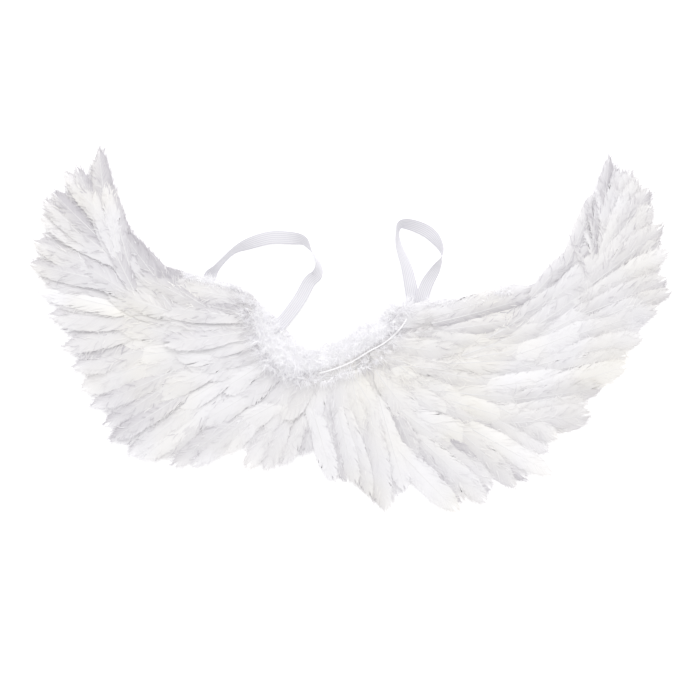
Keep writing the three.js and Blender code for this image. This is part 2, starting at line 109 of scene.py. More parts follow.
def let_light_through(tree, shader, colour, share):
    """Mixes light that passes through a thin sheet into its shader."""
    passed = add_node(tree, "BsdfTranslucent", {"Color": colour})
    mixed = add_node(tree, "MixShader", {0: share, 1: shader.outputs[0], 2: passed.outputs[0]})
    output = next(node for node in tree.nodes if node.type == "OUTPUT_MATERIAL")
    tree.links.new(mixed.outputs[0], output.inputs["Surface"])


print("middle grey in linear light", round(linear("#808080")[0], 3))

# %% [markdown]
# ## Floor and light
# The wings were photographed as stock pictures are, on a pale floor under soft light from all
# round. A bright, even world gives the soft fill, and one wide lamp from above the tips gives the
# feathers their slight relief. Standard view keeps the whites as white as they are set.

# %% Floor, world and softbox
FLOOR_SIZE = 12
FLOOR_DROP = 0.0006
WORLD_STRENGTH = 0.845
LAMP_SIZE = 1.6
LAMP_POWER = 33
LAMP_PLACE = (0.1, 2.0, 1.9)

scene = bpy.context.scene
scene.view_settings.view_transform = "Standard"
world = bpy.data.worlds.new("studio")
world.use_nodes = True
background = world.node_tree.nodes["Background"]
background.inputs["Color"].default_value = linear("#FFFFFF")
background.inputs["Strength"].default_value = WORLD_STRENGTH
scene.world = world

lamp = bpy.data.objects.new("softbox", bpy.data.lights.new("softbox", "AREA"))
lamp.data.size = LAMP_SIZE
lamp.data.energy = LAMP_POWER
lamp.location = LAMP_PLACE
lamp.rotation_euler = (Vector((0, 0, 0)) - lamp.location).to_track_quat("-Z", "Y").to_euler()
bpy.context.collection.objects.link(lamp)

half = FLOOR_SIZE / 2
floor_corners = [(-half, -half, 0), (half, -half, 0), (half, half, 0), (-half, half, 0)]
floor_mesh = bpy.data.meshes.new("floor")
floor_mesh.from_pydata(floor_corners, [], [(0, 1, 2, 3)])
floor = bpy.data.objects.new("floor", floor_mesh)
floor.location.z = -FLOOR_DROP
bpy.context.collection.objects.link(floor)
floor_finish = {
    "Base Color": linear("#FFFFFF"),
    "Roughness": 0.9,
    "Specular IOR Level": 0.1,
    "Emission Color": linear("#FFFFFF"),
    "Emission Strength": 0.22,
}
floor_mesh.materials.append(new_material("matt_white_floor", floor_finish)[0])
print("floor, world and softbox made")

# %% [markdown]
# ## Feather
# Goose feather is keratin, IOR about 1.55, bleached white and left matt. The eye reads it by its
# barbs: fine lines that run from the quill to the edge at a slant. The mesh keeps a UV map in
# millimetres, with one axis along the quill and the other along each barb, so noise that is drawn
# out along the barbs follows every feather. Real barbs lie 0.5 mm apart, too fine to show. The
# noise has streaks about 4 mm wide with finer ones in them, like barbs that cling together.

# %% Feather material
FEATHER_COOL = "#F3F2F4"
FEATHER_WARM = "#F4F2EE"
FEATHER_SHADE = "#C7C4C9"
KERATIN_IOR = 1.55
# Streaks of the noise, in millimetres: their width across the barbs is BARB_PITCH / STREAK_SCALE.
BARB_PITCH = 1.3
STREAK_SCALE = 0.3
STREAK_STRETCH = 0.045
# Blotches of warmer white to a metre, and the part of their noise over which the white turns.
BLOTCH_SCALE = 9.0
WARM_FROM = 0.42
WARM_TO = 0.66
SHADE_BASE = 0.16
SHADE_GAIN = 0.6
# White layers hand light on to each other many times over. A render stops after a few bounces, and
# this small glow stands in for the rest, so the gaps between feathers stay soft.
LAYER_GLOW = 0.065
VANE_LETS_THROUGH = 0.12


def feather_material():
    """Barb streaks, blotches of warmer white, and shade by the tone that the mesh carries."""
    finish = {
        "Roughness": 0.55,
        "IOR": KERATIN_IOR,
        "Specular IOR Level": 0.35,
        "Sheen Weight": 0.15,
        "Sheen Roughness": 0.5,
        "Emission Color": linear(FEATHER_COOL),
        "Emission Strength": LAYER_GLOW,
    }
    material, tree, shader = new_material("goose_feather_bleached", finish)
    place = add_node(tree, "TexCoord")
    barbs = add_node(tree, "UVMap", uv_map="barbs")
    split = add_node(tree, "SeparateXYZ", {"Vector": barbs.outputs[0]})
    drawn_out = {0: split.outputs["Y"], 1: STREAK_STRETCH}
    along = add_node(tree, "Math", drawn_out, operation="MULTIPLY")
    counted = {0: split.outputs["X"], 1: 1 / BARB_PITCH}
    across = add_node(tree, "Math", counted, operation="MULTIPLY")
    lines_at = add_node(tree, "CombineXYZ", {"X": across.outputs[0], "Y": along.outputs[0]})
    streaks = {"Vector": lines_at.outputs[0], "Scale": STREAK_SCALE, "Detail": 4.0, "Roughness": 0.62}
    lines = add_node(tree, "TexNoise", streaks)
    blotches = {"Vector": place.outputs["Object"], "Scale": BLOTCH_SCALE, "Detail": 2.0}
    blotch = add_node(tree, "TexNoise", blotches)
    warm = add_node(tree, "ValToRGB", {"Fac": blotch.outputs["Fac"]})
    stops = ((WARM_FROM, FEATHER_COOL), (WARM_TO, FEATHER_WARM))
    for stop, (position, colour) in zip(warm.color_ramp.elements, stops):
        stop.position, stop.color = position, linear(colour)
    tone = add_node(tree, "Attribute", attribute_name="tone")
    gain = {0: lines.outputs["Fac"], 1: SHADE_GAIN, 2: SHADE_BASE}
    dark = add_node(tree, "Math", gain, operation="MULTIPLY_ADD")
    toned = {0: dark.outputs[0], 1: tone.outputs["Fac"]}
    shade = add_node(tree, "Math", toned, operation="MULTIPLY", use_clamp=True)
    ends = {0: shade.outputs[0], 6: warm.outputs["Color"], 7: linear(FEATHER_SHADE)}
    colour = add_node(tree, "Mix", ends, data_type="RGBA")
    relief = {"Height": lines.outputs["Fac"], "Strength": 0.42, "Distance": 0.0012}
    bump = add_node(tree, "Bump", relief)
    tree.links.new(colour.outputs[2], shader.inputs["Base Color"])
    tree.links.new(bump.outputs["Normal"], shader.inputs["Normal"])
    let_light_through(tree, shader, colour.outputs[2], VANE_LETS_THROUGH)
    return material


feather = feather_material()
horn_finish = {"Base Color": linear("#EDECED"), "Roughness": 0.4, "IOR": KERATIN_IOR}
quill_horn = new_material("goose_quill_horn", horn_finish)[0]
print("materials", feather.name, "and", quill_horn.name)

# %% [markdown]
# ## One feather
# A feather is a quill with a vane on each side. The vane is hundreds of barbs that hook together
# into a sheet, and where the hooks have let go the sheet splits. Hair strands would be heavy, and
# a plain sheet looks like paper. So the vane is made of small sheets, a few barbs each: they share
# their start at the quill, and each draws together towards its own end, which leaves the splits.
# Short spikes past the edge are the ends of single barbs.

# %% Shape of a vane, in shares of the quill's length and of the vane's half width
VANE_OUTLINE = [
    {"at": 0.0, "out": 0.5, "forward": 0.6},
    {"at": 0.2, "out": 0.84, "forward": 1.5},
    {"at": 0.4, "out": 1.0, "forward": 1.75},
    {"at": 0.6, "out": 0.97, "forward": 1.7},
    {"at": 0.76, "out": 0.8, "forward": 1.4},
    {"at": 0.88, "out": 0.54, "forward": 1.05},
    {"at": 0.96, "out": 0.26, "forward": 0.8},
    {"at": 1.0, "out": 0.04, "forward": 0.7},
]


def outline_at(at, key):
    """A column of the vane's outline, at shares of the quill's length."""
    stations = [line["at"] for line in VANE_OUTLINE]
    return np.interp(at, stations, [line[key] for line in VANE_OUTLINE])


print("a vane is widest at", max(VANE_OUTLINE, key=lambda line: line["out"])["at"], "of its quill")


# %% One mesh from many small sheets
class Pieces:
    """Collects the corners, faces and barb coordinates of many small sheets into one mesh."""

    def __init__(self):
        self.corners, self.faces, self.barbs, self.tones, self.kinds = [], [], [], [], []
        self.count = 0

    def add(self, corners, faces, barbs, tone, kind=0):
        """Adds a sheet: kind is the number of its material."""
        self.corners.append(corners)
        self.faces.append(faces + self.count)
        self.barbs.append(barbs)
        self.tones.append(np.broadcast_to(tone, len(corners)))
        self.kinds.append(np.full(len(faces), kind))
        self.count += len(corners)

    def mesh(self, name, materials):
        """One smooth mesh, its corners given in millimetres."""
        mesh = bpy.data.meshes.new(name)
        corners, faces = np.concatenate(self.corners) * MM, np.concatenate(self.faces)
        mesh.vertices.add(len(corners))
        mesh.vertices.foreach_set("co", corners.ravel())
        mesh.loops.add(faces.size)
        mesh.loops.foreach_set("vertex_index", faces.ravel())
        mesh.polygons.add(len(faces))
        mesh.polygons.foreach_set("loop_start", np.arange(len(faces)) * faces.shape[1])
        mesh.polygons.foreach_set("material_index", np.concatenate(self.kinds))
        mesh.polygons.foreach_set("use_smooth", np.ones(len(faces), bool))
        mesh.update(calc_edges=True)
        layer = mesh.uv_layers.new(name="barbs")
        layer.data.foreach_set("uv", np.concatenate(self.barbs)[faces.ravel()].ravel())
        tone = mesh.attributes.new("tone", "FLOAT", "POINT")
        tone.data.foreach_set("value", np.concatenate(self.tones).astype(np.float32))
        for material in materials:
            mesh.materials.append(material)
        made = bpy.data.objects.new(name, mesh)
        bpy.context.collection.objects.link(made)
        return made


def grid_faces(rows, columns):
    """Four-cornered faces of a grid of corners."""
    number = np.arange(rows * columns).reshape(rows, columns)
    corners = (number[:-1, :-1], number[1:, :-1], number[1:, 1:], number[:-1, 1:])
    return np.stack([corner.ravel() for corner in corners], axis=1)


def band_faces(rows, columns):
    """Faces of a closed band: its rings run round once, and both ends are capped."""
    number = np.arange(rows * columns).reshape(rows, columns)
    after = np.roll(number, -1, axis=1)
    sides = np.stack([number[:-1], number[1:], after[1:], after[:-1]], axis=2).reshape(-1, 4)
    half = columns // 2
    caps = []
    for ring in (number[0], number[-1][::-1]):
        back = ring[::-1]
        caps.append(np.stack([ring[: half - 1], ring[1:half], back[1:half], back[: half - 1]], axis=1))
    return np.concatenate([sides, *caps])


def smooth(low, high, value):
    """0 below low, 1 above high, and a soft step between."""
    share = np.clip((value - low) / (high - low), 0, 1)
    return share * share * (3 - 2 * share)


def face_outwards(made):
    """Turns the faces of a closed mesh outwards."""
    work = bmesh.new()
    work.from_mesh(made.data)
    bmesh.ops.recalc_face_normals(work, faces=work.faces)
    work.to_mesh(made.data)
    work.free()


def directions(degrees):
    """Unit vectors along and across an angle from +X."""
    turn = math.radians(degrees)
    along = np.array([math.cos(turn), math.sin(turn)])
    return along, np.array([-math.sin(turn), math.cos(turn)])


def square_to(way):
    """The flat directions turned a quarter to the left."""
    return np.stack([-way[:, 1], way[:, 0]], axis=1)


print("helpers for sheets of barbs ready")

# %% Vane of one feather: sheets of barbs, then loose barb ends along the edge
# Lengths and widths are in millimetres.
BARB_STEP = 2.6
BARB_STATIONS = 5
SHEET_BARBS = (3, 13)
BARB_BEND = (0.38, 0.66)
# Painted light and shade: one side of a vane grows lighter towards its edge and the other darker,
# by this share.
EDGE_SHADE = 0.55
EDGE_BARBS = 2
SPIKE_ROOT = 1.6
SPIKE_HALVES = (0.4, 0.12)
LOOSE_LIMIT = 10


def barb_sheet(rng, start, end, at, ragged):
    """Places along a few barbs that draw together towards their ends, and their lift there."""
    start, end = start[:, None], end[:, None]
    middle = end.mean(axis=0, keepdims=True)
    v = np.linspace(0, 1, BARB_STATIONS)[None, :, None]
    bend = start + (end - start) * np.array(BARB_BEND)
    path = (1 - v) ** 2 * start + 2 * v * (1 - v) * bend + v**2 * end
    loose = smooth(rng.uniform(0.3, 0.85), 1.0, v)
    wild = ragged * (1 - 0.65 * smooth(0.55, 0.95, at))
    path = path + loose * (middle - end) * rng.uniform(0.0, 0.07) * wild
    path = path + loose * np.array([rng.normal(0, 0.6), rng.normal(-0.2, 0.4)]) * wild
    lift = np.repeat(loose[..., 0] * rng.normal(0.0, 0.22) * ragged, len(path), axis=0)
    return path, lift


def edge_spikes(sheet, rng, place, side, path, lift, tone, fuzz):
    """The ends of single barbs past the edge of one sheet."""
    tip = np.repeat(path[:, -1], EDGE_BARBS, axis=0)
    way = np.repeat(path[:, -1] - path[:, -2], EDGE_BARBS, axis=0)
    way = way / np.maximum(np.linalg.norm(way, axis=1, keepdims=True), 1e-6)
    way = way + rng.normal(0, 0.2, way.shape) * min(fuzz, 3)
    way = way / np.maximum(np.linalg.norm(way, axis=1, keepdims=True), 1)
    tip = tip + rng.uniform(-1.2, 1.2, (len(tip), 1)) * [1, 0]
    across = square_to(way)
    reach = np.minimum(rng.gamma(1.2, 1.2 * fuzz, len(tip))[:, None] + 0.6, LOOSE_LIMIT)
    near, far = tip - way * SPIKE_ROOT, tip + way * reach
    wide, thin = (across * half for half in SPIKE_HALVES)
    spike = np.stack([near - wide, near + wide, far + thin, far - thin], axis=1)
    height = np.repeat(np.repeat(lift[:, -1], EDGE_BARBS), 4)
    rise = np.tile([0, 0, 1, 1], (len(tip), 1)) * rng.normal(0.1, 0.5, (len(tip), 1))
    faces = np.arange(4 * len(tip)).reshape(-1, 4)
    barbs = np.stack([np.repeat(tip[:, 0], 4), np.tile([0, 0, 4, 4], len(tip))], axis=1)
    sheet.add(place(spike.reshape(-1, 2) * [1, side], height + rise.ravel()), faces, barbs, tone)


def vane(sheet, rng, length, half, side, place, tone, ragged, fuzz):
    """One side of a feather's vane, from its root to its tip."""
    # Painted light and shade across the vane, on top of the feather's own tone.
    deep = tone * np.linspace(1, 1 - EDGE_SHADE * side, BARB_STATIONS)
    quill = length - half * VANE_OUTLINE[-1]["forward"]
    at = np.arange(VANE_OUTLINE[0]["at"], 1.0001, BARB_STEP / length)
    start = np.stack([at * quill, np.zeros_like(at)], axis=1)
    end = np.stack([at * quill + outline_at(at, "forward") * half, outline_at(at, "out") * half], axis=1)
    end += rng.normal(0, 0.3 * ragged, end.shape)
    first, final = 0, len(at) - 1
    while first < final:
        last = min(first + int(rng.integers(*SHEET_BARBS)), final)
        last = final if final - last < 2 else last
        group, count = slice(first, last + 1), last - first + 1
        path, lift = barb_sheet(rng, start[group], end[group], at[first], ragged)
        span = np.linalg.norm(end[group] - start[group], axis=1, keepdims=True)
        span = span * np.linspace(0, 1, BARB_STATIONS)
        barbs = np.stack([np.repeat(at[group] * quill, BARB_STATIONS), span.ravel()], axis=1)
        spots = place(path.reshape(-1, 2) * [1, side], lift.ravel())
        sheet.add(spots, grid_faces(count, BARB_STATIONS), barbs, np.tile(deep, count))
        edge_spikes(sheet, rng, place, side, path, lift, deep[-1], fuzz)
        first = last


print("a barb every", BARB_STEP, "mm, in sheets of", SHEET_BARBS[0] + 1, "to", SHEET_BARBS[1])

# %% Loose barbs: strays that lie on the vane, and hairs that stand out past its edge
STRAY_BARBS = 26
STRAY_HALVES = (0.5, 0.5, 0.4, 0.1)
TIP_HAIRS = 34
HAIR_REACH = 12
HAIR_HALVES = (0.3, 0.26, 0.2, 0.06)


def slips(sheet, place, line, across, halves, lift, tone):
    """Narrow strips with four places along each, given their half widths there."""
    sides = [spot + across * half * step for spot, half in zip(line, halves) for step in (-1, 1)]
    flat = np.stack(sides, axis=1).reshape(-1, 2)
    faces = grid_faces(4, 2)[None] + np.arange(len(across))[:, None, None] * 8
    sheet.add(place(flat, lift), faces.reshape(-1, 4), flat, tone)


def stray_barbs(sheet, rng, place, length, half, count, tone):
    """Barbs that have come loose from their vane and lie on it, some past its edge."""
    side = rng.choice([-1, 1], count)
    root = rng.uniform(0.1, 0.86, count) * length
    start = np.stack([root, rng.uniform(0.1, 0.75, count) * half * side], axis=1)
    way = np.stack([np.ones(count), rng.uniform(0.1, 0.75, count) * side], axis=1)
    way /= np.linalg.norm(way, axis=1, keepdims=True)
    across = square_to(way)
    reach = rng.uniform(0.4, 1.15, count)[:, None] * half
    bow = across * rng.normal(0, 0.12, (count, 1)) * reach
    line = [start + way * reach * part + bow * part * part * 4 for part in (0.0, 0.35, 0.7, 1.0)]
    lift = np.repeat(rng.uniform(0.35, 0.9, count), 8)
    lift = lift + np.tile([0, 0, 1, 1, 1, 1, 0.6, 0.6], count) * rng.uniform(0.0, 0.6)
    shade = np.repeat(tone * rng.uniform(0.0, 2.0, count), 8)
    slips(sheet, place, line, across, STRAY_HALVES, lift, shade)


def tip_hairs(sheet, rng, place, length, half, count, tone):
    """Single barbs that stand out past the edge of a worn vane, most of them towards its tip."""
    side = rng.choice([-1, 1], count)
    share = 1 - 0.5 * rng.uniform(0, 1, count) ** 1.5
    out = outline_at(share, "out") * half * side * rng.uniform(0.55, 0.95, count)
    start = np.stack([share * length - 2, out], axis=1)
    way = np.stack([np.ones(count), rng.normal(0.45, 0.35, count) * side], axis=1)
    way /= np.linalg.norm(way, axis=1, keepdims=True)
    across = square_to(way)
    reach = rng.uniform(4, HAIR_REACH, count)[:, None]
    bow = across * rng.normal(0, 0.16, (count, 1)) * reach
    line = [start + way * reach * part + bow * part * part for part in (0.0, 0.4, 0.75, 1.0)]
    lift = np.repeat(rng.uniform(0.2, 2.2, count), 8)
    lift = lift * np.tile([0, 0, 0.5, 0.5, 0.9, 0.9, 1, 1], count)
    slips(sheet, place, line, across, HAIR_HALVES, lift, tone)


print(STRAY_BARBS, "strays on a feather, and", TIP_HAIRS, "hairs on an outer one")

# %% A whole feather
QUILL_RADIUS = 0.65
QUILL_STATIONS = 16
CAMBER = 2.4
# Two slow waves in a vane, each with its lengths along and across the quill and its share.
RIPPLES = ((17, 9, 1.0), (31, -13, 0.6))
# A vane that meets the ground eases onto it over this height. Each feather has a bed height of its
# own, so no two lie in one plane.
GROUND_EASE = 0.3
BED_LOWEST = 0.15
BED_SPREAD = 0.1


def feather_at(
    sheet, rng, root, aim, length, width, base, tilt, curl, droop, ragged, fuzz, tone, hairs
):
    """One feather from its root, in millimetres: aim in degrees from +X, base the height of its
    vane, tilt the rise of one edge, and hairs the random numbers of its hairs, or None."""
    half = width / 2
    along, across = directions(aim)
    wave = rng.uniform(0, 2 * math.pi, 3)
    swell = rng.uniform(0.3, 0.8)
    bed = BED_LOWEST + BED_SPREAD * wave[2]

    def place(flat, lift):
        """From the flat feather, quill along x, to its bent and rippled lie on the panel."""
        x, y = flat[:, 0], flat[:, 1]
        share = np.clip(x / length, 0, 1.2)
        arch = 0.5 + 0.5 * smooth(0, 0.4, share) - 0.5 * smooth(0.6, 1, share)
        rise = CAMBER * (1 - (y / half) ** 2 * 0.9) * arch
        turns = zip(RIPPLES, wave)
        ripple = sum(size * np.sin(x / far + y / wide + turn) for (far, wide, size), turn in turns)
        height = base + rise + tilt * y / half + swell * ripple + lift - droop * share**2
        side = y + curl * length * share**2
        spot = np.array(root) + x[:, None] * along + side[:, None] * across
        height = bed + GROUND_EASE * np.logaddexp(0, (height - bed) / GROUND_EASE)
        return np.column_stack([spot, height])

    for side in (1, -1):
        vane(sheet, rng, length, half, side, place, tone, ragged, fuzz)
    stray_barbs(sheet, rng, place, length, half, STRAY_BARBS, tone)
    if hairs is not None:
        tip_hairs(sheet, hairs, place, length, half, TIP_HAIRS, tone)
    quill = length - half * VANE_OUTLINE[-1]["forward"]
    at = np.linspace(0, quill, QUILL_STATIONS)
    thick = np.interp(at / quill, [0, 0.6, 1], [1.0, 0.6, 0.2]) * QUILL_RADIUS
    flat = np.stack([np.stack([at, thick * step], axis=1) for step in (-1, 0, 1)], axis=1)
    top = np.stack([thick * step for step in (0.1, 0.9, 0.1)], axis=1).ravel()
    spots = place(flat.reshape(-1, 2), top)
    sheet.add(spots, grid_faces(QUILL_STATIONS, 3), np.zeros((len(spots), 2)), tone, 1)


print("feather maker ready")

# %% [markdown]
# ## Down
# Marabou is turkey down wound on a cord. It has no vane: each plume is a short soft shaft with
# fine barbs that float apart. Particle hair would render well but isn't a mesh that others can
# use, so the barbs are thin ribbons built from arrays, curled at random and pressed by their own
# weight. They are drawn about half a millimetre wide, wider than real ones, so that they show.

# %% Down material
DOWN_WHITE = "#FDFDFD"
DOWN_SHADE = "#EBEAEE"
DOWN_LETS_THROUGH = 0.2
# Emission here is a painted glow, for light scattered on through the many barbs of the down.
down_finish_and_glow = {
    "Roughness": 0.85,
    "IOR": KERATIN_IOR,
    "Specular IOR Level": 0.2,
    "Emission Color": linear("#FBFAFB"),
    "Emission Strength": 0.12,
}
down, tree, shader = new_material("marabou_down_white", down_finish_and_glow)
place = add_node(tree, "TexCoord")
clumps_at = {"Vector": place.outputs["Object"], "Scale": 120.0, "Detail": 2.0}
clumps = add_node(tree, "TexNoise", clumps_at)
ends = {0: clumps.outputs["Fac"], 6: linear(DOWN_SHADE), 7: linear(DOWN_WHITE)}
colour = add_node(tree, "Mix", ends, data_type="RGBA")
tree.links.new(colour.outputs[2], shader.inputs["Base Color"])
let_light_through(tree, shader, colour.outputs[2], DOWN_LETS_THROUGH)
print("material", down.name)

# %% Barbs of down, in millimetres
RIBBON_WIDTH = 0.55
RIBBON_STATIONS = 5
RIBBON_SAG = 0.25
RIBBON_CURL = 0.35
RIBBON_FLOOR = 0.6


def ribbons(sheet, rng, roots, ways, lengths):
    """Thin curled ribbons from their roots: one four-sided strip for each barb."""
    count = len(roots)
    side = rng.normal(0, 1, (count, 3))
    side -= ways * np.sum(side * ways, axis=1, keepdims=True)
    side /= np.linalg.norm(side, axis=1, keepdims=True)
    v = np.linspace(0, 1, RIBBON_STATIONS)[None, :, None]
    reach = lengths[:, None, None]
    path = roots[:, None] + ways[:, None] * reach * v + side[:, None] * reach * RIBBON_CURL * v**2
    path[..., 2] -= (RIBBON_SAG * reach * v**2)[..., 0]
    flat = np.cross(side, ways)
    width = RIBBON_WIDTH / 2 * (1 - 0.75 * v)
    pair = np.stack([path - flat[:, None] * width, path + flat[:, None] * width], axis=2)
    pair[..., 2] = np.maximum(pair[..., 2], RIBBON_FLOOR)
    faces = grid_faces(RIBBON_STATIONS, 2)[None]
    faces = faces + np.arange(count)[:, None, None] * RIBBON_STATIONS * 2
    sheet.add(pair.reshape(-1, 3), faces.reshape(-1, 4), np.zeros((pair.size // 3, 2)), 1.0)


def root_down(sheet, rng, root, aim, width, base, barbs, reach):
    """Soft barbs round the root of a feather, where its vane has no hooks."""
    along, across = directions(aim)
    at = rng.uniform(-0.1, 1.4, barbs)[:, None] * width * 0.6
    side = rng.normal(0, 0.3, barbs)[:, None] * width
    flat = np.array(root) + along * at + across * side
    roots = np.column_stack([flat, base + rng.uniform(0.5, 3.5, barbs)])
    ways = along + across * rng.normal(0, 0.7, barbs)[:, None]
    ways = np.column_stack([ways, rng.uniform(0.0, 0.45, barbs)])
    ways /= np.linalg.norm(ways, axis=1, keepdims=True)
    ribbons(sheet, rng, roots, ways, rng.uniform(0.5, 1.2, barbs) * reach)


print("a barb of down is", RIBBON_WIDTH, "mm wide")

# %% [markdown]
# ## Tables and smooth lines
# Rows, straps, down and felt all follow lines in the photograph. Each is kept as a short table of
# places, x and y as shares of half the span and half the height, and a smooth curve runs through
# them. A curve from a drawing tool would do too, but a table can be read and changed.

# %% Curves through tables
WING_SPAN = 798
WING_HEIGHT = 459
SPLINE_STEP = 0.004


def column(table, name, at):
    """Value of a table's column at a place between its lines, on a smooth curve through them."""
    places = [line.get("at", number / (len(table) - 1)) for number, line in enumerate(table)]
    number = max(min(int(np.searchsorted(places, at, "right")) - 1, len(table) - 2), 0)
    share = min(max((at - places[number]) / (places[number + 1] - places[number]), 0), 1)
    near = [min(max(number + step, 0), len(table) - 1) for step in (-1, 0, 1, 2)]
    a, b, c, d = (table[line][name] for line in near)
    square = (2 * a - 5 * b + 4 * c - d) * share**2
    cube = (-a + 3 * b - 3 * c + d) * share**3
    return 0.5 * (2 * b + ((-a + c) * share + square + cube))


def spot_at(line, at=None):
    """A place of a table in millimetres: of one line, or at a share of the whole table."""
    x, y = (line[key] if at is None else column(line, key, at) for key in ("x", "y"))
    return np.array([x * WING_SPAN / 2, y * WING_HEIGHT / 2])


def spline(table, share):
    """Place on the smooth line through a table's points, in millimetres, and its direction there."""
    near = (max(share - SPLINE_STEP, 0), share, min(share + SPLINE_STEP, 1))
    before, spot, after = (spot_at(table, at) for at in near)
    way = after - before
    return spot, way / np.linalg.norm(way)


print("tables cover", WING_SPAN, "by", WING_HEIGHT, "mm")

# %% [markdown]
# ## Rows of feathers
# The feathers lists follow the tables of the CAD source, but for two lines that were added and
# three that were moved a little, all to keep closer to the photograph. In the straps' table below
# the roll differs too. A line is one feather: at is its number, x and y its tip as
# shares of half the span and height, aim the way it points in degrees from +X, length a share of
# a long one. Feathers between lines are interpolated. A second set, half a step along and a little
# shorter, fills in underneath as on the real wings, and inner rows have a third. Extra feathers
# are single ones that stand out in the photograph. Seeded scatter keeps two feathers from ever
# being alike.
#
# The other values give a row its looks: width and tuck are the width of its feathers and how much
# longer they are under the next layer, in millimetres, curl bends them sideways, tilt lifts one
# edge, deep is how much shade they take, dusk the shade at the row's end, and notch moves the
# second set further back.

# %% Row tables
FEATHER_LENGTH = 130
PANEL_THICKNESS = 2
PIECE_GAP = 0.3
PANEL_TOP = PANEL_THICKNESS + PIECE_GAP
LAYER_SEAT = 3.0
ROW_LOOKS = {"curl": 0.0, "tuck": 0, "tilt": 0.8, "deep": 1.0, "dusk": 1.0, "notch": 0, "extra": []}

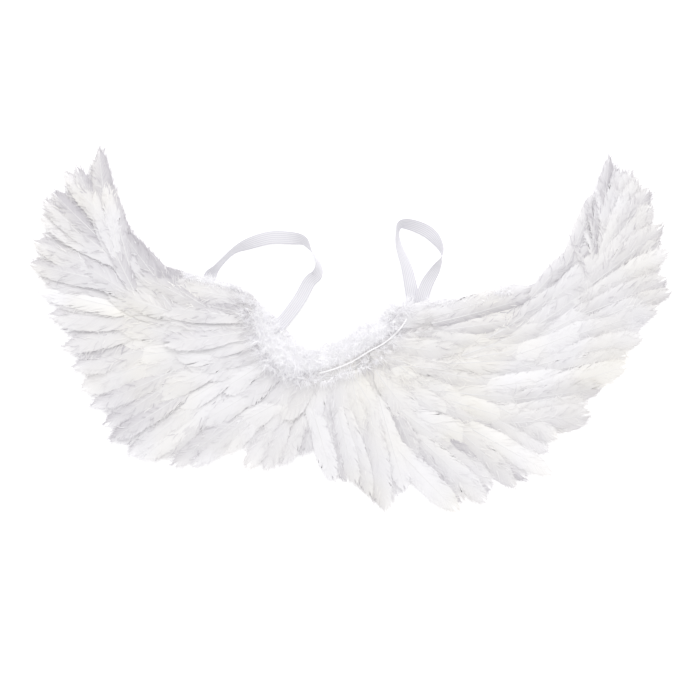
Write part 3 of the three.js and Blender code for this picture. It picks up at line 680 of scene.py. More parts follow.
ROWS = {
    "left_primary_row": {
        "layer": 0,
        "tilt": 2.0,
        "deep": 1.25,
        "width": 34,
        "curl": -0.04,
        "feathers": [
            {"at": 0, "x": -0.787, "y": 0.985, "aim": 107, "length": 0.98},
            {"at": 2, "x": -0.931, "y": 0.744, "aim": 139, "length": 0.95},
            {"at": 4, "x": -0.994, "y": 0.477, "aim": 158, "length": 0.99},
            {"at": 6, "x": -0.991, "y": 0.237, "aim": 172, "length": 1.04},
            {"at": 8, "x": -0.9, "y": -0.101, "aim": 194, "length": 0.95},
            {"at": 11, "x": -0.815, "y": -0.422, "aim": 210, "length": 0.99},
            {"at": 14, "x": -0.699, "y": -0.689, "aim": 222, "length": 1.01},
            {"at": 15, "x": -0.655, "y": -0.706, "aim": 224, "length": 0.94},
        ],
        "extra": [
            {"x": -0.749, "y": -0.602, "aim": 213, "length": 0.9, "width": 30},
            {"x": -0.893, "y": 0.858, "aim": 133, "length": 0.8, "width": 25},
            {"x": -0.96, "y": 0.7, "aim": 143, "length": 0.8, "width": 26},
        ],
    },
    "right_primary_row": {
        "layer": 0,
        "tilt": 3.2,
        "deep": 1.0,
        "dusk": 0.7,
        "width": 33,
        "curl": 0.05,
        "feathers": [
            {"at": 0, "x": 0.749, "y": -0.46, "aim": 0, "length": 0.84},
            {"at": 1, "x": 0.782, "y": -0.32, "aim": 4, "length": 0.88},
            {"at": 2, "x": 0.868, "y": -0.188, "aim": 7, "length": 1.0},
            {"at": 4, "x": 0.962, "y": 0.117, "aim": 16, "length": 0.98},
            {"at": 6, "x": 0.994, "y": 0.433, "aim": 28, "length": 0.96},
            {"at": 8, "x": 0.937, "y": 0.678, "aim": 48, "length": 0.86},
            {"at": 10, "x": 0.875, "y": 0.869, "aim": 67, "length": 0.9},
            {"at": 11, "x": 0.812, "y": 0.935, "aim": 77, "length": 0.87},
        ],
        "extra": [
            {"x": 0.931, "y": 0.76, "aim": 52, "length": 0.8, "width": 27},
            {"x": 1, "y": 0.215, "aim": 20, "length": 0.9, "width": 28},
            {"x": 0.845, "y": 0.87, "aim": 73, "length": 0.75, "width": 26},
            {"x": 0.895, "y": 0.82, "aim": 64, "length": 0.75, "width": 28},
            {"x": 0.778, "y": 0.81, "aim": 94, "length": 0.42, "width": 15},
            {"x": 0.748, "y": 0.69, "aim": 97, "length": 0.4, "width": 14},
            {"x": 0.722, "y": 0.59, "aim": 102, "length": 0.38, "width": 14},
            {"x": 0.703, "y": 0.5, "aim": 106, "length": 0.36, "width": 13},
        ],
    },
    "left_lower_row": {
        "layer": 0,
        "notch": 9,
        "width": 30,
        "curl": -0.02,
        "feathers": [
            {"at": 0, "x": -0.615, "y": -0.712, "aim": 224, "length": 0.95},
            {"at": 2, "x": -0.495, "y": -0.744, "aim": 223, "length": 0.77},
            {"at": 3, "x": -0.41, "y": -0.67, "aim": 229, "length": 0.68},
            {"at": 4, "x": -0.326, "y": -0.749, "aim": 237, "length": 0.65},
            {"at": 6, "x": -0.16, "y": -0.657, "aim": 262, "length": 0.41},
        ],
        "extra": [
            {"x": -0.266, "y": -0.755, "aim": 246, "length": 0.6, "width": 25},
            {"x": -0.216, "y": -0.72, "aim": 249, "length": 0.55, "width": 25},
            {"x": -0.15, "y": -0.67, "aim": 256, "length": 0.45, "width": 24},
        ],
    },
    "right_lower_row": {
        "layer": 0,
        "deep": 0.9,
        "width": 34,
        "feathers": [
            {"at": 0, "x": 0.332, "y": -0.995, "aim": -50, "length": 1.02},
            {"at": 1, "x": 0.423, "y": -0.94, "aim": -43, "length": 0.92},
            {"at": 2, "x": 0.511, "y": -0.858, "aim": -36, "length": 0.93},
            {"at": 3, "x": 0.63, "y": -0.787, "aim": -30, "length": 1.04},
            {"at": 4, "x": 0.643, "y": -0.591, "aim": -27, "length": 0.82},
        ],
        "extra": [
            {"x": 0.29, "y": -0.81, "aim": -52, "length": 0.8, "width": 28},
            {"x": 0.2, "y": -0.7, "aim": -66, "length": 0.6, "width": 26},
        ],
    },
    "centre_lower_row": {
        "layer": 1,
        "deep": 1.1,
        "width": 27,
        "feathers": [
            {"at": 0, "x": -0.056, "y": -0.842, "aim": -80, "length": 0.82},
            {"at": 1, "x": 0.016, "y": -0.864, "aim": -79, "length": 0.82},
            {"at": 3, "x": 0.116, "y": -0.995, "aim": -77, "length": 1.03},
            {"at": 4, "x": 0.179, "y": -0.886, "aim": -74, "length": 0.83},
        ],
    },
    "left_second_row": {
        "layer": 1,
        "deep": 1.3,
        "width": 33,
        "curl": -0.05,
        "feathers": [
            {"at": 0, "x": -0.765, "y": 0.787, "aim": 110, "length": 0.83},
            {"at": 2, "x": -0.812, "y": 0.515, "aim": 141, "length": 0.75},
            {"at": 5, "x": -0.762, "y": 0.063, "aim": 174, "length": 0.77},
            {"at": 8, "x": -0.693, "y": -0.264, "aim": 197, "length": 0.85},
            {"at": 10, "x": -0.561, "y": -0.466, "aim": 213, "length": 0.71},
            {"at": 13, "x": -0.301, "y": -0.559, "aim": 230, "length": 0.5},
        ],
        "extra": [
            {"x": -0.856, "y": 0.373, "aim": 150, "length": 0.65, "width": 29},
            {"x": -0.8, "y": 0.76, "aim": 114, "length": 0.62, "width": 26},
            {"x": -0.765, "y": 0.81, "aim": 103, "length": 0.6, "width": 24},
        ],
    },
    "right_second_row": {
        "layer": 1,
        "tilt": 2.0,
        "width": 33,
        "curl": 0.06,
        "feathers": [
            {"at": 0, "x": 0.326, "y": -0.657, "aim": -45, "length": 0.68},
            {"at": 2, "x": 0.53, "y": -0.493, "aim": -16, "length": 0.82},
            {"at": 4, "x": 0.687, "y": -0.232, "aim": 0, "length": 0.9},
            {"at": 6, "x": 0.781, "y": 0.025, "aim": 13, "length": 0.93},
            {"at": 8, "x": 0.818, "y": 0.297, "aim": 30, "length": 0.89},
            {"at": 10, "x": 0.793, "y": 0.531, "aim": 50, "length": 0.78},
            {"at": 11, "x": 0.768, "y": 0.749, "aim": 67, "length": 0.78},
        ],
    },
    "centre_upper_row": {
        "layer": 2,
        "deep": 0.8,
        "width": 29,
        "tuck": 16,
        "feathers": [
            {"at": 0, "x": -0.135, "y": -0.52, "aim": -105, "length": 0.47},
            {"at": 2, "x": -0.019, "y": -0.548, "aim": -90, "length": 0.52},
            {"at": 4, "x": 0.107, "y": -0.548, "aim": -73, "length": 0.61},
            {"at": 5, "x": 0.179, "y": -0.515, "aim": -69, "length": 0.66},
        ],
    },
    "left_covert_row": {
        "layer": 2,
        "deep": 1.5,
        "width": 32,
        "curl": -0.05,
        "tuck": 8,
        "feathers": [
            {"at": 0, "x": -0.718, "y": 0.569, "aim": 130, "length": 0.74},
            {"at": 2, "x": -0.693, "y": 0.313, "aim": 150, "length": 0.62},
            {"at": 4, "x": -0.624, "y": 0.074, "aim": 170, "length": 0.58},
            {"at": 6, "x": -0.561, "y": -0.112, "aim": 188, "length": 0.58},
            {"at": 8, "x": -0.473, "y": -0.275, "aim": 205, "length": 0.55},
            {"at": 10, "x": -0.348, "y": -0.395, "aim": 223, "length": 0.45},
            {"at": 12, "x": -0.223, "y": -0.482, "aim": 239, "length": 0.45},
        ],
        "extra": [
            {"x": -0.746, "y": 0.199, "aim": 163, "length": 0.62, "width": 30},
        ],
    },
    "right_covert_row": {
        "layer": 2,
        "width": 33,
        "curl": 0.06,
        "tuck": 8,
        "feathers": [
            {"at": 0, "x": 0.216, "y": -0.52, "aim": -59, "length": 0.48},
            {"at": 2, "x": 0.398, "y": -0.395, "aim": -21, "length": 0.66},
            {"at": 4, "x": 0.555, "y": -0.177, "aim": 0, "length": 0.75},
            {"at": 6, "x": 0.643, "y": 0.041, "aim": 15, "length": 0.76},
            {"at": 8, "x": 0.693, "y": 0.27, "aim": 32, "length": 0.72},
            {"at": 9, "x": 0.701, "y": 0.44, "aim": 48, "length": 0.59},
        ],
        "extra": [
            {"x": 0.53, "y": -0.09, "aim": -4, "length": 0.8, "width": 31},
            {"x": 0.59, "y": 0.165, "aim": 12, "length": 0.95, "width": 31},
            {"x": 0.47, "y": -0.2, "aim": -12, "length": 0.75, "width": 31},
        ],
    },
    "left_top_row": {
        "layer": 3,
        "deep": 1.6,
        "width": 31,
        "curl": -0.04,
        "tuck": 18,
        "feathers": [
            {"at": 0, "x": -0.636, "y": 0.34, "aim": 157, "length": 0.65},
            {"at": 1, "x": -0.58, "y": 0.281, "aim": 164, "length": 0.64},
            {"at": 3, "x": -0.517, "y": 0.063, "aim": 175, "length": 0.48},
            {"at": 5, "x": -0.455, "y": -0.09, "aim": 192, "length": 0.37},
            {"at": 6, "x": -0.404, "y": -0.177, "aim": 198, "length": 0.31},
        ],
        "extra": [
            {"x": -0.552, "y": 0.21, "aim": 172, "length": 0.58, "width": 29},
            {"x": -0.671, "y": 0.308, "aim": 155, "length": 0.6, "width": 29},
            {"x": -0.561, "y": 0.248, "aim": 168, "length": 0.55, "width": 27},
            {"x": -0.624, "y": 0.134, "aim": 172, "length": 0.68, "width": 30},
            {"x": -0.596, "y": -0.074, "aim": 193, "length": 0.7, "width": 30},
        ],
    },
    "right_top_row": {
        "layer": 3,
        "width": 32,
        "curl": 0.05,
        "tuck": 14,
        "feathers": [
            {"at": 0, "x": 0.235, "y": -0.319, "aim": -42, "length": 0.4},
            {"at": 2, "x": 0.367, "y": -0.139, "aim": -11, "length": 0.63},
            {"at": 3, "x": 0.467, "y": -0.057, "aim": -4, "length": 0.77},
            {"at": 4, "x": 0.555, "y": 0.074, "aim": 5, "length": 0.91},
            {"at": 5, "x": 0.592, "y": 0.204, "aim": 14, "length": 0.77},
        ],
        "extra": [
            {"x": 0.373, "y": 0.134, "aim": 9, "length": 0.63, "width": 26},
            {"x": 0.467, "y": 0.161, "aim": 9, "length": 0.9, "width": 28},
            {"x": 0.561, "y": 0.226, "aim": 13.5, "length": 0.98, "width": 28},
        ],
    },
}

drawn = sum(row["feathers"][-1]["at"] + 1 for row in ROWS.values())
print(len(ROWS), "rows,", drawn, "feathers in the CAD rows")

# %% [markdown]
# ## Laying the rows
# On the real wings each feather is glued by hand from the edge inwards, so the top layer lies on
# all others. Here each row is one mesh: its sets are worked out first, and then every feather gets
# its own small slip, turn, width and wear. The outer rows lie neatly and their tips are worn. The
# inner ones are laid more freely and droop onto the layer below.

# %% Feathers of one row
# slide, side and turn: scatter back from the tip and sideways in millimetres, and in degrees, at
# one standard deviation. notch: how far the second set lies back. shade and dusk: the most that a
# feather darkens by chance, and at the row's end. spread: how far the tips reach past the table.
OUTER = {
    "notch": 12.0, "slide": 1.5, "side": 1.2, "turn": 2.5, "droop": 1.0, "fuzz": 3.4,
    "shade": 1.1, "dusk": 1.1, "spread": 2.0,
}
INNER = {
    "notch": 6.0, "slide": 8.0, "side": 2.2, "turn": 5.0, "droop": 3.6, "fuzz": 1.5,
    "shade": 0.6, "dusk": 0.8, "spread": 0,
}
# A set: how much higher its feathers lie, how freely they are scattered, how much darker they are.
# On the second and third sets, which lie underneath, that darkness is painted shade.
TOP_SET = (0.4, 1.0, 0.0)
SECOND_SET = (-1.6, 0.6, 0.4)
THIRD_SET = (-2.6, 0.3, 0.4)
EXTRA_SET = (1.0, 0.35, 0.3)
THIRD_BACK = 3.0
# Towards the end of a row feathers get narrower, more worn and darker, over this many of them.
NARROW_OVER = 2.5
WORN_OVER = 3
DUSK_OVER = 5


def row_feathers(name, row, lie):
    """A row's feathers in the order they are laid: line, way back, set, and how much darker."""
    table = row["feathers"]
    last = table[-1]["at"]
    sets = [
        (np.arange(last) + 0.5, lie["notch"] + row["notch"], SECOND_SET),
        (np.arange(last + 1), 0.0, TOP_SET),
    ]
    if row["layer"]:
        sets.insert(0, (np.arange(last * 2) / 2 + 0.25, THIRD_BACK, THIRD_SET))
    laid = []
    for places, back, kind in sets:
        for at in places:
            end = at if name.startswith("left") else last - at
            end = last if "lower" in name or "centre" in name else end
            line = {key: column(table, key, at) for key in ("x", "y", "aim", "length")}
            line["width"] = row["width"] * (0.74 + 0.26 * smooth(0, NARROW_OVER, end))
            line["fuzz"] = 1.7 - 0.7 * smooth(0, WORN_OVER, end)
            dusk = row["dusk"] * lie["dusk"] * (1 - smooth(0, min(DUSK_OVER, last), end))
            laid.append((line, back, kind, kind[2] + dusk))
    return laid + [(line, 0.0, EXTRA_SET, EXTRA_SET[2]) for line in row["extra"]]


print("helpers for rows ready")

# %% Lay the rows
# Feathers with their roots in this stretch of x, in millimetres, carry down under the boa.
BOA_REACH = (-190, 120)
ROOT_BARBS = 36
ROOT_REACH = 14
ROW_SEED = 11
HAIR_SEED = 70


def lay_row(name, row, seed):
    """The feathers of one row as one mesh in place of its solid."""
    rng, hairs = np.random.default_rng(seed), np.random.default_rng(seed + HAIR_SEED)
    row = {**ROW_LOOKS, **row}
    layer = row["layer"]
    lie = INNER if layer else OUTER
    base = PANEL_TOP + layer * LAYER_SEAT
    sheet = Pieces()
    laid = row_feathers(name, row, lie)
    for line, back, (rise, scatter, _), deeper in laid:
        along, across = directions(line["aim"])
        back += abs(rng.normal(0, lie["slide"])) * scatter
        back -= lie["spread"]
        tip = spot_at(line) - along * back + across * rng.normal(0, lie["side"]) * scatter
        aim = line["aim"] + rng.normal(0, lie["turn"]) * scatter
        curl = row["curl"] + rng.normal(0, 0.025)
        length = line["length"] * FEATHER_LENGTH * rng.uniform(1.06, 1.2) + row["tuck"]
        along, across = directions(aim)
        root = tip - length * along - across * curl * length
        width, height = line["width"] * rng.uniform(0.78, 1.05), base + rise + rng.uniform(-0.6, 0.6)
        feather_at(
            sheet, rng, root, aim, length, width, height,
            tilt=rng.normal(row["tilt"], 0.7),
            curl=curl,
            droop=lie["droop"],
            ragged=rng.uniform(0.6, 1.4),
            fuzz=rng.uniform(0.7, 1.3) * line.get("fuzz", 1.0) * lie["fuzz"],
            tone=row["deep"] * (rng.uniform(0.0, lie["shade"]) + deeper),
            hairs=None if layer else hairs,
        )
        if layer > 1 and BOA_REACH[0] < root[0] < BOA_REACH[1]:
            root_down(sheet, rng, root, aim, width, height, ROOT_BARBS, ROOT_REACH)
    made = sheet.mesh(name.replace("_row", "_feathers"), [feather, quill_horn])
    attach(made, "root")
    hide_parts(name)
    print(made.name, len(laid), "feathers,", len(made.data.polygons), "faces")
    return len(laid)


laid = sum(lay_row(name, row, seed + ROW_SEED) for seed, (name, row) in enumerate(ROWS.items()))
print(laid, "feathers in all")

# %% [markdown]
# ## Marabou boa
# The boa hides where the feathers meet at the neckline, and its barbs catch on the felt's edge and
# on the top feathers. A soft core gives its body, so that no light falls through, and plumes stand
# out from it all round and carry the barbs. Two finer lines of wisps join it to what it lies on.
# The core cord shows in a furrow, so barbs that would cross it are left out.

# %% Lines of the boa
TRIM_WIDTH = 40
TRIM_HEIGHT = 22
TRIM_SPINE = [
    {"x": -0.339, "y": 0.144, "width": 0.62},
    {"x": -0.292, "y": 0.052, "width": 0.82},
    {"x": -0.266, "y": -0.057, "width": 0.96},
    {"x": -0.207, "y": -0.145, "width": 1.0},
    {"x": -0.144, "y": -0.172, "width": 0.95},
    {"x": -0.082, "y": -0.158, "width": 0.88},
    {"x": -0.019, "y": -0.118, "width": 0.86},
    {"x": 0.034, "y": -0.058, "width": 0.92},
    {"x": 0.085, "y": -0.008, "width": 0.92},
    {"x": 0.129, "y": 0.054, "width": 0.82},
    {"x": 0.163, "y": 0.112, "width": 0.56},
]
NECK_WISPS = [
    {"x": -0.345, "y": 0.2},
    {"x": -0.279, "y": 0.105},
    {"x": -0.213, "y": -0.025},
    {"x": -0.163, "y": -0.11},
]
ROOT_WISPS = [
    {"x": -0.335, "y": 0.07},
    {"x": -0.292, "y": -0.11},
    {"x": -0.215, "y": -0.23},
    {"x": -0.13, "y": -0.27},
    {"x": -0.019, "y": -0.235},
    {"x": 0.085, "y": -0.135},
    {"x": 0.155, "y": 0},
]
# The cord runs along the boa's lower side, this share of its half width out, between two shares of
# its length.
CORD_SIDE = 0.9
CORD_START = 0.46
CORD_END = 0.96
CORD_STEPS = 220


def half_width(table, share, width):
    """Half the width of a roll of down at a share of its line."""
    return width * (column(table, "width", share) if "width" in table[0] else 1) / 2


def trim_side(share, side):
    """A place on the surface of the boa, side of the way out from its middle."""
    spot, along = spline(TRIM_SPINE, share)
    across = np.array([-along[1], along[0]])
    flat = spot - across * side * half_width(TRIM_SPINE, share, TRIM_WIDTH)
    return np.append(flat, PANEL_TOP + TRIM_HEIGHT * math.sqrt(1 - side**2))


cord_shares = np.linspace(CORD_START, CORD_END, CORD_STEPS)
cord_line = np.array([trim_side(share, CORD_SIDE) for share in cord_shares])
print("the cord lies between x", round(cord_line[0, 0]), "and", round(cord_line[-1, 0]), "mm")

# %% Plumes round a soft core
CORE_RINGS = 60
CORE_SIDES = 17
CORE_SHARE = 0.72
CORE_ROUGHNESS = 0.25
FURROW = 1.3
PLUME_SPREAD = 0.5
PLUME_FLATNESS = 0.7


def down_core(sheet, rng, table, width, height, seat, core):
    """The body of a roll of down, thin at both ends and a little rough."""
    around = np.linspace(0, 2 * math.pi, CORE_SIDES)[:, None]
    rings = []
    for share in np.linspace(0, 1, CORE_RINGS):
        spot, along = spline(table, share)
        thick = core * min(1, 6 * share + 0.1, 6 * (1 - share) + 0.1)
        across = np.append([-along[1], along[0]], 0) * half_width(table, share, width) * thick
        up = np.array([0, 0, height * 0.42 * thick])
        middle = np.append(spot, seat + RIBBON_FLOOR + height * 0.42 * thick)
        rings.append(middle + across * np.cos(around) + up * np.sin(around))
    rings = np.array(rings) + rng.normal(0, CORE_ROUGHNESS, (CORE_RINGS, CORE_SIDES, 3))
    rings[:, -1] = rings[:, 0]
    flat = np.zeros((CORE_RINGS * CORE_SIDES, 2))
    sheet.add(rings.reshape(-1, 3), grid_faces(CORE_RINGS, CORE_SIDES), flat, 1.0)


def clear_of(line, starts, ends):
    """Which barbs stay off a line, seen from above: a furrow is left along it."""
    clear = np.ones(len(starts), bool)
    for share in (0.0, 0.25, 0.5, 0.75, 1.0):
        spots = starts + (ends - starts) * share
        gaps = np.linalg.norm(spots[:, None, :2] - line[None, :, :2], axis=2)
        nearest = line[gaps.argmin(axis=1)]
        clear &= (gaps.min(axis=1) > FURROW) | (spots[:, 2] < nearest[:, 2] - 1)
    return clear


def boa(
    sheet, rng, table, width, height, plumes, barbs, reach, furrow=None, seat=PANEL_TOP, core=CORE_SHARE
):
    """Plumes of down round a line: each leaves the core at its own slant and carries many barbs."""
    down_core(sheet, rng, table, width, height, seat, core)
    for number in range(plumes):
        share = min(max((number + rng.uniform(0, 1)) / plumes, 0), 1)
        spot, along = spline(table, share)
        half = half_width(table, share, width)
        across = np.array([-along[1], along[0]])
        lean = rng.uniform(-0.15, math.pi + 0.15)
        out = np.append(across * math.cos(lean), 0) + np.array([0, 0, 0.65 * abs(math.sin(lean))])
        sweep = rng.normal(0, 0.7) + 1.2 * smooth(0.96, 1, share) - 1.2 * smooth(0.04, 0, share)
        out += np.append(along, 0) * sweep
        out /= np.linalg.norm(out)
        centre = np.append(spot, seat + height * 0.35)
        start = centre + out * half * rng.uniform(0.05, 0.35)
        shaft = half * rng.uniform(0.45, 0.8)
        roots = start + out * shaft * rng.uniform(0, 1, barbs)[:, None]
        ways = out + rng.normal(0, PLUME_SPREAD, (barbs, 3)) * [1, 1, PLUME_FLATNESS]
        ways /= np.linalg.norm(ways, axis=1, keepdims=True)
        lengths = rng.uniform(0.4, 1.1, barbs) * reach
        keep = np.ones(barbs, bool)
        if furrow is not None:
            keep = clear_of(furrow, roots, roots + ways * lengths[:, None])
        ribbons(sheet, rng, roots[keep], ways[keep], lengths[keep])


print("helpers for down ready")

# %% Boa with its wisps
TRIM_PLUMES = 520
PLUME_BARBS = 22
PLUME_REACH = 17
NECK_WIDTH, NECK_HEIGHT, NECK_PLUMES, NECK_REACH = 9, 8, 90, 9
ROOT_WIDTH, ROOT_HEIGHT, ROOT_PLUMES, ROOT_SEAT = 16, 5, 220, 10
WISP_BARBS = 14

sheet = Pieces()
boa(
    sheet, np.random.default_rng(3), TRIM_SPINE, TRIM_WIDTH, TRIM_HEIGHT,
    TRIM_PLUMES, PLUME_BARBS, PLUME_REACH, cord_line,
)
boa(
    sheet, np.random.default_rng(4), NECK_WISPS, NECK_WIDTH, NECK_HEIGHT,
    NECK_PLUMES, WISP_BARBS, NECK_REACH, core=0.3,
)
boa(
    sheet, np.random.default_rng(5), ROOT_WISPS, ROOT_WIDTH, ROOT_HEIGHT,
    ROOT_PLUMES, WISP_BARBS, ROOT_REACH, cord_line, ROOT_SEAT, core=0.1,
)
marabou = sheet.mesh("marabou_boa", [down])
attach(marabou, "root")
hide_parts("marabou_trim")
print(marabou.name, len(marabou.data.polygons), "faces")

# %% [markdown]
# ## Fluff on the upper edges
# A thin line of loose down runs along the leading edge of each wing, near the neck. It is made as
# the boa is, only much smaller, and lies on the feathers rather than on the felt.

# %% Thin fluff along the upper edge of each wing
EDGE_DOWN_WIDTH = 9
EDGE_DOWN_HEIGHT = 8
EDGE_DOWN_SEAT = 7
EDGE_DOWN_REACH = 10
EDGE_PLUMES = 150
EDGE_PLUME_BARBS = 12
EDGE_SEED = 40
EDGE_DOWN = {
    "left_edge_down": [
        {"x": -0.511, "y": 0.292},
        {"x": -0.442, "y": 0.259},
        {"x": -0.354, "y": 0.221},
    ],
    "right_edge_down": [
        {"x": 0.229, "y": 0.128},
        {"x": 0.317, "y": 0.15},
        {"x": 0.411, "y": 0.172},
        {"x": 0.492, "y": 0.215},
    ],
}
for seed, (name, table) in enumerate(EDGE_DOWN.items()):
    sheet = Pieces()
    boa(
        sheet, np.random.default_rng(seed + EDGE_SEED), table, EDGE_DOWN_WIDTH, EDGE_DOWN_HEIGHT,
        EDGE_PLUMES, EDGE_PLUME_BARBS, EDGE_DOWN_REACH, seat=EDGE_DOWN_SEAT,
    )
    fluff = sheet.mesh(name + "_fluff", [down])
    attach(fluff, "root")
    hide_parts(name)
    print(fluff.name, len(fluff.data.polygons), "faces")

# %% [markdown]
# ## Core cord of the boa
# The cord that the down is wound on shows as a thin bright line along the lower side of the boa.
# It is a two-ply cotton cord, so two strands are twisted about one path.

# %% Two-ply cord, in millimetres
CORD_DIAMETER = 2
CORD_LAY = 5
CORD_RAISE = 4
CORD_SIDES = 7

# Emission here is a painted glow that keeps the thin cord bright where the down shades it.
cord_finish_and_glow = {
    "Roughness": 0.75,
    "Emission Color": linear("#FFFFFF"),
    "Emission Strength": 0.15,
}
cotton, tree, shader = new_material("cotton_cord_bleached", cord_finish_and_glow)
place = add_node(tree, "TexCoord")
fibres = {"Vector": place.outputs["Object"], "Scale": 1500.0, "Detail": 2.0}
fibre = add_node(tree, "TexNoise", fibres)
ends = {0: fibre.outputs["Fac"], 6: linear("#F8F7F9"), 7: linear("#FFFFFF")}
colour = add_node(tree, "Mix", ends, data_type="RGBA")
tree.links.new(colour.outputs[2], shader.inputs["Base Color"])

sheet = Pieces()
middle = cord_line + [0, 0, CORD_RAISE]
way = np.gradient(middle, axis=0)
way /= np.linalg.norm(way, axis=1, keepdims=True)
across = np.cross([0, 0, 1], way)
across /= np.linalg.norm(across, axis=1, keepdims=True)
over = np.cross(way, across)
run = np.concatenate([[0], np.cumsum(np.linalg.norm(np.diff(middle, axis=0), axis=1))])
around = np.linspace(0, 2 * math.pi, CORD_SIDES)[None, :, None]
ring = across[:, None] * np.cos(around) + over[:, None] * np.sin(around)
for ply in (0, 1):
    turn = (2 * math.pi * run / CORD_LAY + math.pi * ply)[:, None]
    strand = middle + (across * np.cos(turn) + over * np.sin(turn)) * CORD_DIAMETER / 4
    tube = (strand[:, None] + ring * CORD_DIAMETER / 4).reshape(-1, 3)
    sheet.add(tube, grid_faces(CORD_STEPS, CORD_SIDES), np.zeros((len(tube), 2)), 1.0)
cord = sheet.mesh("boa_core_cord", [cotton])
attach(cord, "root")
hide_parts("trim_cord")
print(cord.name, "length in millimetres", round(run[-1]))

# %% [markdown]
# ## Shoulder straps
# Knitted elastic is a flat band, 16.5 mm wide, with rubber threads along it that make fine ribs.
# The band turns over as it falls, and a path with a roll angle gives that turn exactly, where a
# cloth simulation would have to be steered to it. The ribs are real relief in the mesh. Real ones
# lie 1.5 mm apart, and they are drawn 2.4 mm apart so that they show.

# %% Lines of the straps
# x and y are places of the band's middle line. roll turns the band about that line, in degrees, and
# rest says what it lies on: 0 the ground, 1 the felt, 2 its own other end.
STRAPS = {
    "left_strap": [
        {"x": -0.47, "y": 0.12, "roll": 0, "rest": 1},
        {"x": -0.445, "y": 0.27, "roll": 10, "rest": 1},
        {"x": -0.42, "y": 0.335, "roll": 62, "rest": 0.3},
        {"x": -0.37, "y": 0.422, "roll": 66, "rest": 0},
        {"x": -0.317, "y": 0.468, "roll": 30, "rest": 0},
        {"x": -0.254, "y": 0.499, "roll": 8, "rest": 0},
        {"x": -0.197, "y": 0.499, "roll": 12, "rest": 0},
        {"x": -0.15, "y": 0.484, "roll": 45, "rest": 0},
        {"x": -0.125, "y": 0.43, "roll": 85, "rest": 0},
        {"x": -0.103, "y": 0.36, "roll": 110, "rest": 0},
        {"x": -0.106, "y": 0.3, "roll": 145, "rest": 0},
        {"x": -0.13, "y": 0.26, "roll": 165, "rest": 0.3},
        {"x": -0.16, "y": 0.166, "roll": 180, "rest": 1},
        {"x": -0.2, "y": 0.07, "roll": 180, "rest": 1},
        {"x": -0.238, "y": 0, "roll": 180, "rest": 1},
    ],
    "right_strap": [
        {"x": 0.21, "y": 0.02, "roll": 0, "rest": 1},
        {"x": 0.196, "y": 0.134, "roll": 0, "rest": 1},
        {"x": 0.186, "y": 0.24, "roll": 15, "rest": 1},
        {"x": 0.172, "y": 0.346, "roll": 35, "rest": 0.2},
        {"x": 0.15, "y": 0.45, "roll": 58, "rest": 0},
        {"x": 0.145, "y": 0.53, "roll": 74, "rest": 0},
        {"x": 0.158, "y": 0.572, "roll": 50, "rest": 0},
        {"x": 0.198, "y": 0.564, "roll": 30, "rest": 0},
        {"x": 0.245, "y": 0.525, "roll": 22, "rest": 0},
        {"x": 0.275, "y": 0.462, "roll": 55, "rest": 0},
        {"x": 0.284, "y": 0.4, "roll": 90, "rest": 0},
        {"x": 0.265, "y": 0.33, "roll": 135, "rest": 0.4},
        {"x": 0.235, "y": 0.24, "roll": 165, "rest": 1.8},
        {"x": 0.22, "y": 0.134, "roll": 180, "rest": 2},
        {"x": 0.232, "y": 0.02, "roll": 180, "rest": 2},
    ],
}

print(len(STRAPS), "straps")

# %% Ribbed elastic, in millimetres
STRAP_WIDTH = 16.5
STRAP_THICKNESS = 1.2
STRAP_CLEARANCE = 0.3
STRAP_RIBS = 7
RIB_RELIEF = 0.24

elastic_finish = {"Roughness": 0.7, "Sheen Weight": 0.1}
elastic, tree, shader = new_material("ribbed_elastic_white", elastic_finish)
band = add_node(tree, "UVMap", uv_map="barbs")
split = add_node(tree, "SeparateXYZ", {"Vector": band.outputs[0]})
knitting = {"Vector": band.outputs[0], "Scale": 0.35, "Distortion": 1.0}
knit = add_node(tree, "TexWave", knitting, bands_direction="X")
# Painted light and shade of the ribs: the colour is lighter on each crest and darker in the grooves.
half_turns = {0: split.outputs["Y"], 1: math.pi * STRAP_RIBS / STRAP_WIDTH}
across = add_node(tree, "Math", half_turns, operation="MULTIPLY")
wave = add_node(tree, "Math", {0: across.outputs[0]}, operation="SINE")
crest = add_node(tree, "Math", {0: wave.outputs[0]}, operation="ABSOLUTE")
knit_share = {0: knit.outputs["Fac"], 1: 0.3, 2: 0.0}
knit_light = add_node(tree, "Math", knit_share, operation="MULTIPLY_ADD")
crest_share = {0: crest.outputs[0], 1: 0.8, 2: knit_light.outputs[0]}
light = add_node(tree, "Math", crest_share, operation="MULTIPLY_ADD", use_clamp=True)
ends = {0: light.outputs[0], 6: linear("#D1CFD8"), 7: linear("#EFEEF2")}
colour = add_node(tree, "Mix", ends, data_type="RGBA")
bump = add_node(tree, "Bump", {"Height": knit.outputs["Fac"], "Strength": 0.3, "Distance": 0.0003})
tree.links.new(colour.outputs[2], shader.inputs["Base Color"])
tree.links.new(bump.outputs["Normal"], shader.inputs["Normal"])
print("material", elastic.name)

# %% A strap from its table
STRAP_STEPS_PER_LINE = 24
CORNERS_PER_RIB = 4
STRAP_EDGE = 0.15


def strap_section():
    """Corners round the band's cross section, with the ribs on both faces."""
    across = np.linspace(-0.5, 0.5, STRAP_RIBS * CORNERS_PER_RIB + 1)
    relief = RIB_RELIEF * np.abs(np.sin(across * math.pi * STRAP_RIBS))
    thick = STRAP_THICKNESS / 2 - RIB_RELIEF + relief
    thick[[0, -1]] = STRAP_EDGE
    upper, lower = (np.stack([across * STRAP_WIDTH, thick * side], 1) for side in (1, -1))
    return np.concatenate([upper, lower[::-1]])


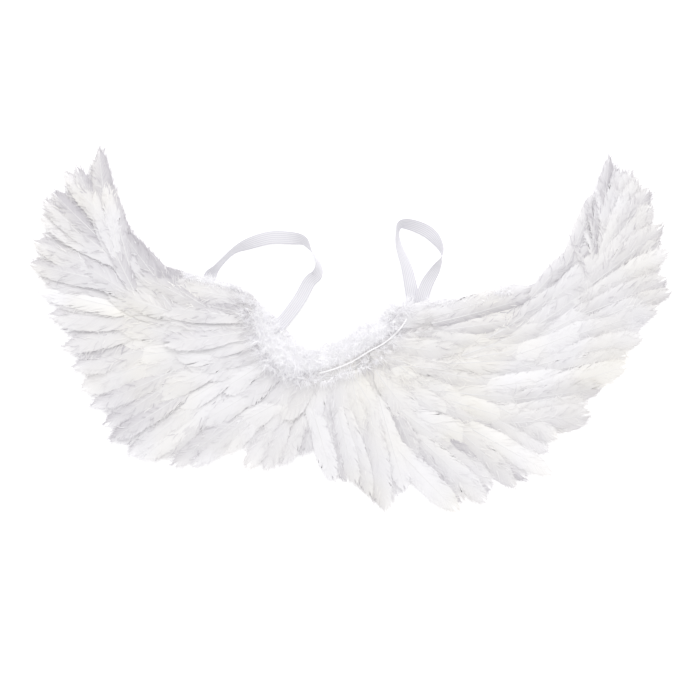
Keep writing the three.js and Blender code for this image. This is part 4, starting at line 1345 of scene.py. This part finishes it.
def strap(name, table):
    """One strap as a closed band, laid with its lower edge on what it rests on."""
    seats = [STRAP_CLEARANCE, PANEL_TOP, PANEL_TOP + STRAP_THICKNESS + PIECE_GAP]
    section = strap_section()
    rings, run, before = [], [], None
    for share in np.linspace(0, 1, STRAP_STEPS_PER_LINE * (len(table) - 1) + 1):
        spot, along = spline(table, share)
        roll = math.radians(column(table, "roll", share))
        rest = min(max(column(table, "rest", share), 0), 2)
        under = min(int(rest), 1)
        seat = seats[under] + (seats[under + 1] - seats[under]) * (rest - under)
        flat = np.array([-along[1] * math.cos(roll), along[0] * math.cos(roll), math.sin(roll)])
        face = np.cross(np.append(along, 0), flat)
        reach = abs(math.sin(roll)) * STRAP_WIDTH + abs(math.cos(roll)) * STRAP_THICKNESS
        middle = np.append(spot, seat + reach / 2)
        rings.append(middle + section[:, :1] * flat + section[:, 1:] * face)
        run.append(0 if before is None else run[-1] + np.linalg.norm(middle - before))
        before = middle
    sheet = Pieces()
    corners = np.array(rings)
    rows, columns = corners.shape[:2]
    marks = np.stack([np.repeat(run, columns), np.tile(section[:, 0], rows)], axis=1)
    sheet.add(corners.reshape(-1, 3), band_faces(rows, columns), marks, 1.0)
    made = sheet.mesh(name + "_elastic", [elastic])
    face_outwards(made)
    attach(made, "root")
    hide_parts(name)
    print(made.name, "length in millimetres", round(run[-1]))


print("a rib every", round(STRAP_WIDTH / STRAP_RIBS, 1), "mm")

# %% [markdown]
# ## Felt backing
# The rows are glued on a panel of 2 mm white wool felt. Its top is hidden and its underside is
# what a wearer's back feels: a matt, short-napped cloth with a line of stitching round the edge
# and a crossed box where each end of a strap is sewn on. The panel is one closed sheet with
# smooth shading.

# %% Line of the panel, in shares, and its width there as a share of the widest
PANEL_WIDTH = 150
PANEL_SPINE = [
    {"x": -0.735, "y": 0.6, "width": 0.12},
    {"x": -0.69, "y": 0.33, "width": 0.34},
    {"x": -0.56, "y": 0.1, "width": 0.74},
    {"x": -0.4, "y": -0.08, "width": 0.92},
    {"x": -0.2, "y": -0.32, "width": 0.72},
    {"x": -0.03, "y": -0.36, "width": 0.62},
    {"x": 0.14, "y": -0.29, "width": 0.98},
    {"x": 0.34, "y": -0.16, "width": 0.95},
    {"x": 0.53, "y": -0.02, "width": 0.76},
    {"x": 0.69, "y": 0.22, "width": 0.4},
    {"x": 0.77, "y": 0.55, "width": 0.12},
]

print("the panel is", PANEL_WIDTH, "mm wide at most")

# %% Felt material and panel
PANEL_STEPS = 112
PANEL_COLUMNS = 25
# The felt's underside stays this much off the ground, in millimetres, to leave room for the thread.
PANEL_UNDERSIDE = 0.12

felt, tree, shader = new_material("wool_felt_white", {"Roughness": 0.95, "Sheen Weight": 0.3})
place = add_node(tree, "TexCoord")
fibres = {"Vector": place.outputs["Object"], "Scale": 900.0, "Detail": 4.0, "Roughness": 0.7}
nap = add_node(tree, "TexNoise", fibres)
clouds = {"Vector": place.outputs["Object"], "Scale": 30.0, "Detail": 2.0}
cloud = add_node(tree, "TexNoise", clouds)
mixed = {0: nap.outputs["Fac"], 1: cloud.outputs["Fac"]}
both = add_node(tree, "Math", mixed, operation="MULTIPLY")
ends = {0: both.outputs[0], 6: linear("#E3E1E5"), 7: linear("#FBFAFB")}
colour = add_node(tree, "Mix", ends, data_type="RGBA")
bump = add_node(tree, "Bump", {"Height": nap.outputs["Fac"], "Strength": 0.6, "Distance": 0.0004})
tree.links.new(colour.outputs[2], shader.inputs["Base Color"])
tree.links.new(bump.outputs["Normal"], shader.inputs["Normal"])

rows = []
for share in np.linspace(0, 1, PANEL_STEPS + 1):
    spot, along = spline(PANEL_SPINE, share)
    across = np.array([-along[1], along[0]]) * half_width(PANEL_SPINE, share, PANEL_WIDTH)
    rows.append([np.append(spot + across * step, 0) for step in np.linspace(-1, 1, PANEL_COLUMNS)])
rows = np.array(rows)
top, bottom = rows.copy(), rows.copy()
top[..., 2], bottom[..., 2] = PANEL_THICKNESS, PANEL_UNDERSIDE
loop = np.concatenate([bottom, top[:, ::-1]], axis=1)
sheet = Pieces()
sheet.add(loop.reshape(-1, 3), band_faces(*loop.shape[:2]), np.zeros((loop.size // 3, 2)), 1.0)
backing = sheet.mesh("backing_felt", [felt])
face_outwards(backing)
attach(backing, "root")
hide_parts("backing_panel")

# %% Lay the straps
for name, table in STRAPS.items():
    strap(name, table)

# %% [markdown]
# ## Stitching
# Only the underside shows it: one line of running stitch follows the edge of the felt, and a box
# with a cross holds each end of a strap. Polyester thread, 0.6 mm thick, pressed into the felt.

# %% Stitches on the underside, in millimetres
STITCH = 3.6
STITCH_GAP = 1.6
THREAD_WIDTH = 0.7
THREAD_HEIGHT = 0.03
EDGE_MARGIN = 5
EDGE_STEPS = 140
EDGE_ENDS = (0.02, 0.98)
SEAM_BOX = (12, 16)
# Where along a strap its two seams start, and which way they run.
SEAMS = ((0.012, 1), (0.988, -1))

thread_finish = {"Base Color": linear("#C9C7CD"), "Roughness": 0.5}
thread = new_material("polyester_thread_white", thread_finish)[0]


def stitch_line(sheet, points):
    """Running stitch along a line of points."""
    points = np.array(points)
    run = np.concatenate([[0], np.cumsum(np.linalg.norm(np.diff(points, axis=0), axis=1))])
    starts = np.arange(0, run[-1] - STITCH, STITCH + STITCH_GAP)
    near, far = (
        np.stack([np.interp(starts + more, run, points[:, axis]) for axis in (0, 1)], axis=1)
        for more in (0, STITCH)
    )
    way = far - near
    way /= np.linalg.norm(way, axis=1, keepdims=True)
    across = square_to(way) * THREAD_WIDTH / 2
    corners = np.stack([near - across, near + across, far + across, far - across], axis=1)
    corners = corners.reshape(-1, 2)
    corners = np.column_stack([corners, np.full(len(corners), THREAD_HEIGHT)])
    faces = np.arange(len(corners)).reshape(-1, 4)
    sheet.add(corners, faces, np.zeros((len(corners), 2)), 1.0)


sheet = Pieces()
for side in (-1, 1):
    edge = []
    for share in np.linspace(*EDGE_ENDS, EDGE_STEPS):
        spot, along = spline(PANEL_SPINE, share)
        half = half_width(PANEL_SPINE, share, PANEL_WIDTH) - EDGE_MARGIN
        edge.append(spot + np.array([-along[1], along[0]]) * max(half, 1) * side)
    stitch_line(sheet, edge)
for table in STRAPS.values():
    for at, step in SEAMS:
        spot, along = spline(table, at)
        along = along * step
        across = np.array([-along[1], along[0]]) * SEAM_BOX[0] / 2
        left, right = spot - across, spot + across
        box = [left, right, right + along * SEAM_BOX[1], left + along * SEAM_BOX[1]]
        for line in ([0, 1, 2, 3, 0], [0, 2], [1, 3]):
            stitch_line(sheet, [box[corner] for corner in line])
stitches = sheet.mesh("panel_stitches", [thread])
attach(stitches, "root")
print(stitches.name, len(stitches.data.polygons), "stitches")
